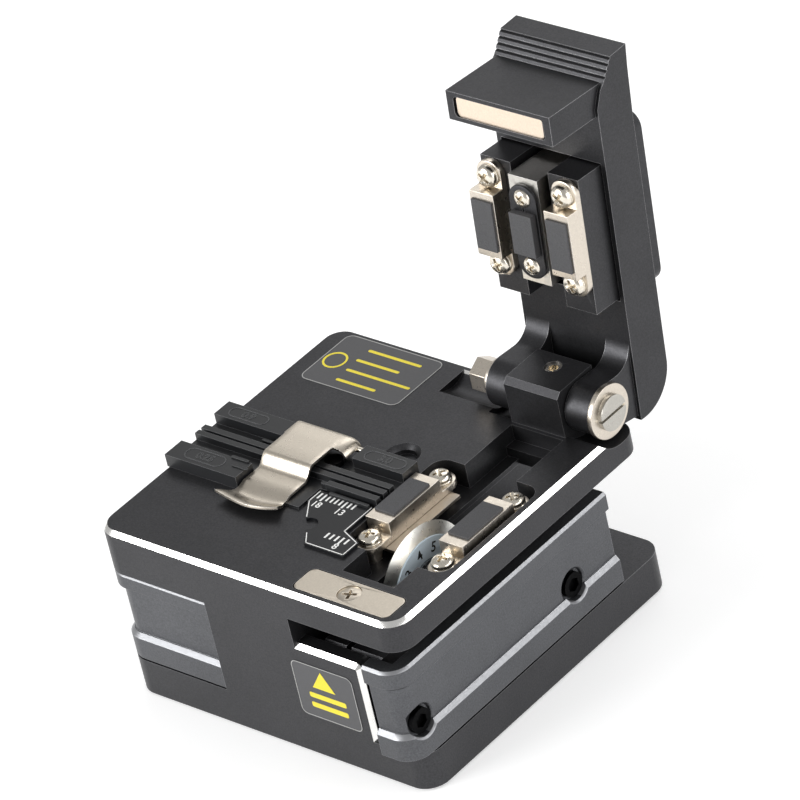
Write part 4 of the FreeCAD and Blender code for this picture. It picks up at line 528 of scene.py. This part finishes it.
label("deck_label", (4.0, 47.7), (25.3, 61.2), 1.5, 0.16, spot, on_deck_film)
ring_x, ring_y, ring_out, ring_in = 6.75, 54.15, 2.25, 1.85
around = [math.radians(9 * k) for k in range(40)]
bm = bmesh.new()
frame_slab(bm, *([(ring_x + radius * math.cos(t), ring_y + radius * math.sin(t))
                  for t in around] for radius in (ring_out, ring_in)), INK, on_deck_film)
rule_half = 0.3
for start, finish, rule in ((10.4, 22.0, 58.7), (10.2, 19.6, 55.7), (10.4, 24.3, 52.8),
                            (10.6, 19.2, 49.9)):
    bar(bm, (start, rule - rule_half), (finish, rule + rule_half), 0.28, on_deck_film)
place_piece("deck_label_marks", mesh_from(bm, "deck_label_marks"), ink_yellow, "body")

label("front_label", (39.3, 8.1), (52.3, 18.9), 1.2, 0.15, on_front, on_front_film)
bm = bmesh.new()
slab(bm, [(43.1, 14.4), (47.9, 14.4), (45.5, 18.0)], INK, on_front_film)
for low, high in ((12.2, 13.2), (10.2, 11.2)):
    bar(bm, (42.0, low), (49.8, high), 0.3, on_front_film)
place_piece("front_label_marks", mesh_from(bm, "front_label_marks"), ink_yellow, "body")

# ---- Scale plate print ----------------------------------------------------------------------
# White screen print on black lacquer: a line round the plate, ticks about a millimetre apart,
# and the plain numbers of the cleave length.
ink_white = plain("white_screen_ink", "#f4f4f2", 0.5, vary=0.03)
plate_top = (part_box("scale_plate")[1].z - deck) / MM


def stroke(bm, points, width, to_world):
    """A flat line of ink of that width through the points."""
    for (ax, ay), (bx, by) in zip(points, points[1:]):
        long = math.hypot(bx - ax, by - ay)
        ux, uy = (bx - ax) / long * width / 2, (by - ay) / long * width / 2
        slab(bm, [(ax - ux + uy, ay - uy - ux), (bx + ux + uy, by + uy - ux),
                  (bx + ux - uy, by + uy + ux), (ax - ux - uy, ay - uy + ux)], INK, to_world)


def on_plate(a, b, h):
    return spot(a, b, plate_top + h)


LINE_WIDE, TICK_WIDE = 0.16, 0.36
TICK_LONG, TICK_SHORT = 1.5, 1.1
upper_ticks, lower_ticks = 22.9, 14.9
upper_pitch, lower_pitch = 0.92, 1.05
bm = bmesh.new()
stroke(bm, [(32.3, 17.0), (29.8, 20.6), (29.8, 23.35)], LINE_WIDE, on_plate)
stroke(bm, [(35.3, 13.5), (36.9, 11.4), (44.8, 11.4), (44.8, 14.9), (40.8, 16.5), (40.8, 23.35)],
       LINE_WIDE, on_plate)
for tick in range(9):
    long = TICK_LONG if tick in (1, 6) else TICK_SHORT
    across = 30.6 + tick * upper_pitch
    stroke(bm, [(across, upper_ticks), (across, upper_ticks - long)], TICK_WIDE, on_plate)
for tick in range(5):
    long = 1.3 if tick == 3 else 1.0
    across = 38.9 + tick * lower_pitch
    stroke(bm, [(across, lower_ticks), (across, lower_ticks - long)], TICK_WIDE, on_plate)
place_piece("scale_ticks", mesh_from(bm, "scale_ticks"), ink_white, "body")


def lettering(name, text, size, matrix, material, body, thick=INK, bold=0.0):
    """Plain numbers as a mesh; matrix places the middle of the text, in metres."""
    curve = bpy.data.curves.new(name, "FONT")
    curve.body = text
    curve.size = size * MM
    curve.align_x, curve.align_y = "CENTER", "CENTER"
    curve.extrude = thick * MM / 2
    curve.offset = bold * MM
    curve.resolution_u = 3
    holder = bpy.data.objects.new(name + "_curve", curve)
    bpy.context.scene.collection.objects.link(holder)
    bpy.context.view_layer.update()
    mesh = bpy.data.meshes.new_from_object(holder)
    bpy.data.objects.remove(holder)
    mesh.name = name
    mesh.transform(matrix)
    place_piece(name, mesh, material, body)


for name, text, x, y in (("scale_number_long", "18", 31.6, 20.2),
                         ("scale_number_mid", "13", 36.6, 20.2),
                         ("scale_number_short", "8", 42.1, 12.6)):
    lettering(name, text, 2.0, Matrix.Translation(on_plate(x, y, INK / 2)), ink_white, "body",
              bold=0.02)

# ---- Numbers on the blade ring --------------------------------------------------------------
# The ring numbers the twelve places that the wheel can be turned to when its edge wears. The
# three stands in front of the top, and the others follow every 30 degrees.
NUMBER_RADIUS = 6.55
THREE_AT = -38.7
ink_black = plain("black_screen_ink", "#141416", 0.5)
ring_low, ring_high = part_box("number_ring")
ring_centre = Vector((ring_high.x, (ring_low.y + ring_high.y) / 2, (ring_low.z + ring_high.z) / 2))
for number in range(1, 13):
    lean = math.radians(THREE_AT + (number - 3) * 30)
    outward = Vector((0, math.sin(lean), math.cos(lean)))
    aside = Vector((0, math.cos(lean), -math.sin(lean)))
    centre = ring_centre + outward * NUMBER_RADIUS * MM + Vector((INK / 2 * MM, 0, 0))
    turn = Matrix((aside, outward, Vector((1, 0, 0)))).transposed().to_4x4()
    lettering(f"ring_number_{number}", str(number), 2.5, Matrix.Translation(centre) @ turn,
              ink_black, "wheel", bold=0.03)

# ---- Fibre clip -----------------------------------------------------------------------------
# A leaf of nickel plated spring steel on a pin across the holder: flat at the rear, curled
# down to the pin at both rear corners, one rounded step down, and a flared finger lip.
CLIP_THICK = 0.45
CLIP_WIDE = 10.2
CLIP_INSET = 2.2
CURL_RADIUS = 1.1
STEP_REAR, STEP_LONG, STEP_DOWN = 25.9, 2.6, 2.0
LIP_ROOT, LIP_FRONT = 19.6, 15.0
LIP_LEFT, LIP_WIDER = 2.1, 3.0
COLUMNS, STEP_ROWS, LIP_ROWS = 12, 16, 9
clip_low, clip_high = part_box("fibre_clip")
clip_left = (clip_low.x - left) / MM + CLIP_INSET
clip_rear = (clip_high.y - front) / MM
upper = (clip_high.z - deck) / MM
lower = upper - STEP_DOWN


def arc(centre, radius, start, finish, steps):
    """Points of an arc in the side view, (y, height), angles in degrees from the rear."""
    turns = [math.radians(start + (finish - start) * k / steps) for k in range(steps + 1)]
    return [(centre[0] + radius * math.cos(t), centre[1] + radius * math.sin(t)) for t in turns]


def step_row(share):
    """A point of the rounded step, from the upper leaf at 0 to the lower one at 1."""
    return (STEP_REAR - STEP_LONG * share,
            lower + (upper - lower) * (0.5 + 0.5 * math.cos(math.pi * share)))


def lip_point(across, along):
    """A point of the lip: across from left to right, along from its root to its rim. The rim
    bows forward, the last part spreads sideways, and the lip dips before it rises again."""
    rim_x = clip_left - LIP_LEFT + (CLIP_WIDE + LIP_WIDER) * across
    rim_y = (LIP_FRONT - 1.3 * math.sin(math.pi * across) ** 0.8 * across ** 0.3
             + 1.9 * max(0, across - 0.55) ** 1.5)
    root_x = clip_left + CLIP_WIDE * across
    flare = max(0, along - 0.35) / 0.65
    dip = 0.5 * math.sin(math.pi * min(1, along * 1.15))
    rise = 0.55 * max(0, along - 0.6) / 0.4
    return spot(root_x + (rim_x - root_x) * flare ** 1.4,
                LIP_ROOT + (rim_y - LIP_ROOT) * along, lower - dip + rise)


side_view = (arc((clip_rear - CURL_RADIUS, upper - CURL_RADIUS), CURL_RADIUS, -100, 90, 9)
             + [(31.0, upper), (28.5, upper)]
             + [step_row(k / STEP_ROWS) for k in range(STEP_ROWS + 1)]
             + [(21.5, lower), (LIP_ROOT, lower)])
bm = bmesh.new()
shares = [u / COLUMNS for u in range(COLUMNS + 1)]
grid = [[bm.verts.new(spot(clip_left + CLIP_WIDE * share, y, h)) for share in shares]
        for y, h in side_view]
grid += [[bm.verts.new(lip_point(share, row / LIP_ROWS)) for share in shares]
         for row in range(1, LIP_ROWS + 1)]
for first, second in zip(grid, grid[1:]):
    for u in range(COLUMNS):
        bm.faces.new((first[u], first[u + 1], second[u + 1], second[u]))
# The ears: the flat rear part bends down at both sides, further on the right. Each step of the
# bend is a share of the ear's length and a drop.
flat_rows = [k for k, (y, h) in enumerate(side_view) if h > upper - 0.5 and y > 30.9]
EAR_BEND = ((0.3, -0.02), (0.5, -0.12), (0.68, -0.32), (0.82, -0.62), (0.92, -1.0), (1.0, -1.5))
for column, ear_long in ((COLUMNS, 2.75), (0, -0.7)):
    root = [grid[k][column] for k in flat_rows]
    base = root
    for share, drop in EAR_BEND:
        shifted = [bm.verts.new(v.co + Vector((ear_long * share * MM, 0, drop * MM)))
                   for v in root]
        for k in range(len(base) - 1):
            bm.faces.new((base[k], base[k + 1], shifted[k + 1], shifted[k]))
        base = shifted
mesh = mesh_from(bm, "spring_clip")
# Its white edge is partly wear and partly a painted highlight.
clip_steel = metal("nickel_plated_spring_steel", "#d2c9bb", 0.3, grit=0.18 * MM, vary=0.05,
                   wear_and_highlight=0.12 * MM, edge="#ffffff")
clip = place_piece("spring_clip", mesh, clip_steel, "clip", smooth=True)
# The points lie on the leaf's upper side, so the sheet grows down from them.
thick = clip.modifiers.new("sheet", "SOLIDIFY")
thick.thickness = CLIP_THICK * MM
thick.offset = -1 if mesh.polygons[len(mesh.polygons) // 3].normal.z > 0 else 1
bevelled(clip, "tumbled_edge", 0.12 * MM, 3, 50)
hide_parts("fibre_clip")

# ---- Cross-head screws ----------------------------------------------------------------------
# Nickel plated pan head screws hold the clamp brackets and the anvil plate. Each head is
# turned, then its cross recess is punched.
def lathe(profile, sides=40):
    """Turns (radius, height) pairs in millimetres round Z."""
    bm = bmesh.new()
    rings = []
    for radius, height in profile:
        if radius == 0:
            rings.append([bm.verts.new((0, 0, height * MM))])
        else:
            rings.append([bm.verts.new((radius * MM * math.cos(2 * math.pi * k / sides),
                                        radius * MM * math.sin(2 * math.pi * k / sides),
                                        height * MM)) for k in range(sides)])
    for first, second in zip(rings, rings[1:]):
        for k in range(sides):
            n = (k + 1) % sides
            corners = [first[k % len(first)], second[k % len(second)], second[n % len(second)],
                       first[n % len(first)]]
            bm.faces.new(list(dict.fromkeys(corners)))
    return bm


RECESS_FACES = ((0, 1, 2, 3), (7, 6, 5, 4), (0, 4, 5, 1), (1, 5, 6, 2), (2, 6, 7, 3), (3, 7, 4, 0))


def cross_recess(name, profile, arm, depth, width):
    """A screw with its recess cut, as a mesh: the head's top lies at the origin, facing +Z."""
    mouth, taper_long, taper_wide = 0.4, 0.45, 0.6
    body = bpy.data.objects.new(name, mesh_from(lathe(profile), name))
    bpy.context.scene.collection.objects.link(body)
    cutters = []
    for turn in (0, 90):
        bm = bmesh.new()
        ring = []
        for long, wide, h in ((arm, width, mouth), (arm * taper_long, width * taper_wide, -depth)):
            for a, b in ((long, wide), (long, -wide), (-long, -wide), (-long, wide)):
                place = Vector((a * MM, b * MM, h * MM))
                place.rotate(Matrix.Rotation(math.radians(turn), 3, "Z"))
                ring.append(bm.verts.new(place))
        for face in RECESS_FACES:
            bm.faces.new([ring[k] for k in face])
        cutter = bpy.data.objects.new(name + "_cutter", mesh_from(bm, name + "_cutter"))
        bpy.context.scene.collection.objects.link(cutter)
        cutters.append(cutter)
        cut = body.modifiers.new("recess", "BOOLEAN")
        cut.operation = "DIFFERENCE"
        cut.solver = "EXACT"
        cut.object = cutter
    bpy.context.view_layer.update()
    shaped = bpy.data.meshes.new_from_object(
        body.evaluated_get(bpy.context.evaluated_depsgraph_get()))
    for made in (body, *cutters):
        bpy.data.objects.remove(made)
    return shaped


def solids_of(name):
    """The points of each separate solid of a CAD node, in order of X and then Y."""
    bm = bmesh.new()
    bm.from_mesh(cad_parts[name].data)
    bmesh.ops.remove_doubles(bm, verts=bm.verts, dist=0.001 * MM)
    left_over, found = set(bm.verts), []
    while left_over:
        start = left_over.pop()
        group, border = [start], [start]
        while border:
            for link in border.pop().link_edges:
                for vert in link.verts:
                    if vert in left_over:
                        left_over.discard(vert)
                        group.append(vert)
                        border.append(vert)
        found.append([Vector(v.co) for v in group])
    bm.free()
    return sorted(found, key=lambda group: (round(sum(v.x for v in group) / len(group), 4),
                                            sum(v.y for v in group) / len(group)))


def fit_screws(name, node, shape, out, material, body):
    """One screw mesh per solid of the node, with its head's top where the solid's is. out is
    the way that the heads face; head is how much of a solid is looked at for its middle."""
    head = 1.2 * MM
    out = Vector(out).normalized()
    joined = bmesh.new()
    for count, group in enumerate(solids_of(node)):
        top = max(v.dot(out) for v in group)
        near = [v for v in group if v.dot(out) > top - head]
        low = [min(v[k] for v in near) for k in range(3)]
        high = [max(v[k] for v in near) for k in range(3)]
        middle = Vector((low[k] + high[k]) / 2 for k in range(3))
        middle += out * (top - middle.dot(out))
        turn = out.to_track_quat("Z", "X").to_matrix().to_4x4()
        spun = Matrix.Rotation(math.radians(20 + 37 * count), 4, "Z")   # as they were driven
        copy = shape.copy()
        copy.transform(Matrix.Translation(middle) @ turn @ spun)
        joined.from_mesh(copy)
        bpy.data.meshes.remove(copy)
    mesh = bpy.data.meshes.new(name)
    joined.to_mesh(mesh)
    joined.free()
    made = place_piece(name, mesh, material, body, smooth=True)
    bevelled(made, "edge_break", 0.04 * MM, 2, 35).harden_normals = True
    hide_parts(node)


pan_large = cross_recess(
    "pan_screw", [(0, 0), (0.7, -0.02), (1.2, -0.1), (1.6, -0.26), (1.85, -0.52), (1.96, -0.8),
                  (2.0, -1.05), (1.9, -1.15), (1.9, -1.25), (2.0, -1.35), (1.95, -1.5),
                  (1.25, -1.5), (1.25, -5.5), (0, -5.6)], 1.4, 1.0, 0.32)
pan_small = cross_recess(
    "pan_screw_small", [(0, 0), (0.6, -0.02), (1.1, -0.1), (1.4, -0.25), (1.6, -0.5),
                        (1.7, -0.8), (1.65, -1.0), (0.8, -1.0), (0.8, -4.6), (0, -4.7)],
    1.2, 0.85, 0.28)
flush = cross_recess(
    "flush_screw", [(0, 0), (1.9, 0), (2.1, -0.1), (2.05, -0.25), (1.05, -1.15), (1.05, -3.6),
                    (0, -3.7)], 1.5, 1.0, 0.3)
up = (0, 0, 1)
opened = math.radians(94.7)
lid_out = (0, -math.sin(opened), -math.cos(opened))
for name, node, shape, out, material, body in (
        ("lower_clamp_pan_screws", "lower_clamp_screws", pan_large, up, screw_nickel, "body"),
        ("upper_clamp_pan_screws_left", "upper_clamp_screws_left", pan_large, lid_out,
         screw_nickel, "clamp_left"),
        ("upper_clamp_pan_screws_right", "upper_clamp_screws_right", pan_large, lid_out,
         screw_nickel, "clamp_right"),
        ("anvil_pan_screws", "anvil_screws", pan_small, lid_out, screw_nickel, "anvil"),
        ("keeper_flush_screw", "keeper_screw", flush, up, satin_nickel, "body")):
    fit_screws(name, node, shape, out, material, body)

# ---- Marks and small rails of the fibre holder ----------------------------------------------
# The holder is moulded: thin raised ovals with coating sizes on its lands, and short rails
# beside the clip that steer the fibre.
LAND, GROOVE = 2.4, 0.5
RAISED = 0.07
OVAL_LINE = 0.16


def on_land(a, b, h):
    return spot(a, b, LAND + h)


bm = bmesh.new()
for low, high in (((3.2, 19.2), (11.6, 22.1)), ((2.3, 31.6), (10.6, 34.1)),
                  ((32.1, 31.5), (40.6, 34.1))):
    radius = (high[1] - low[1]) / 2 - 0.02
    frame_slab(bm, rounded(low, high, radius, 8),
               rounded(inset(low, OVAL_LINE), inset(high, -OVAL_LINE), radius - OVAL_LINE, 8),
               RAISED, on_land)
place_piece("holder_ovals", mesh_from(bm, "holder_ovals"), holder_plastic, "body")
for name, text, x, y in (("holder_size_coated", "0.25", 7.4, 20.65),
                         ("holder_size_tight", "0.9", 6.4, 32.85),
                         ("holder_size_loose", "3.0", 36.3, 32.8)):
    lettering(name, text, 2.1, Matrix.Translation(on_land(x, y, RAISED / 2)), holder_plastic,
              "body", RAISED, 0.03)

SUNK = 0.05
rail_half = 0.28
bm = bmesh.new()
for x0, x1, y, base, tall in ((11.6, 15.4, 22.65, LAND - SUNK, 0.38),
                              (13.2, 16.6, 20.9, LAND - SUNK, 0.3),
                              (12.0, 15.2, 29.6, GROOVE - SUNK, 1.15),
                              (29.2, 31.2, 24.6, GROOVE - SUNK, 1.0),
                              (32.0, 40.6, 23.2, GROOVE - 0.9, 1.5)):
    slab(bm, rounded((x0, y - rail_half), (x1, y + rail_half), 0.25, 4), tall,
         lambda a, b, h, base=base: spot(a, b, base + h))
small_rails = place_piece("holder_rails", mesh_from(bm, "holder_rails"), holder_plastic, "body")
bevelled(small_rails, "moulded_edge", 0.1 * MM, 2, 40)
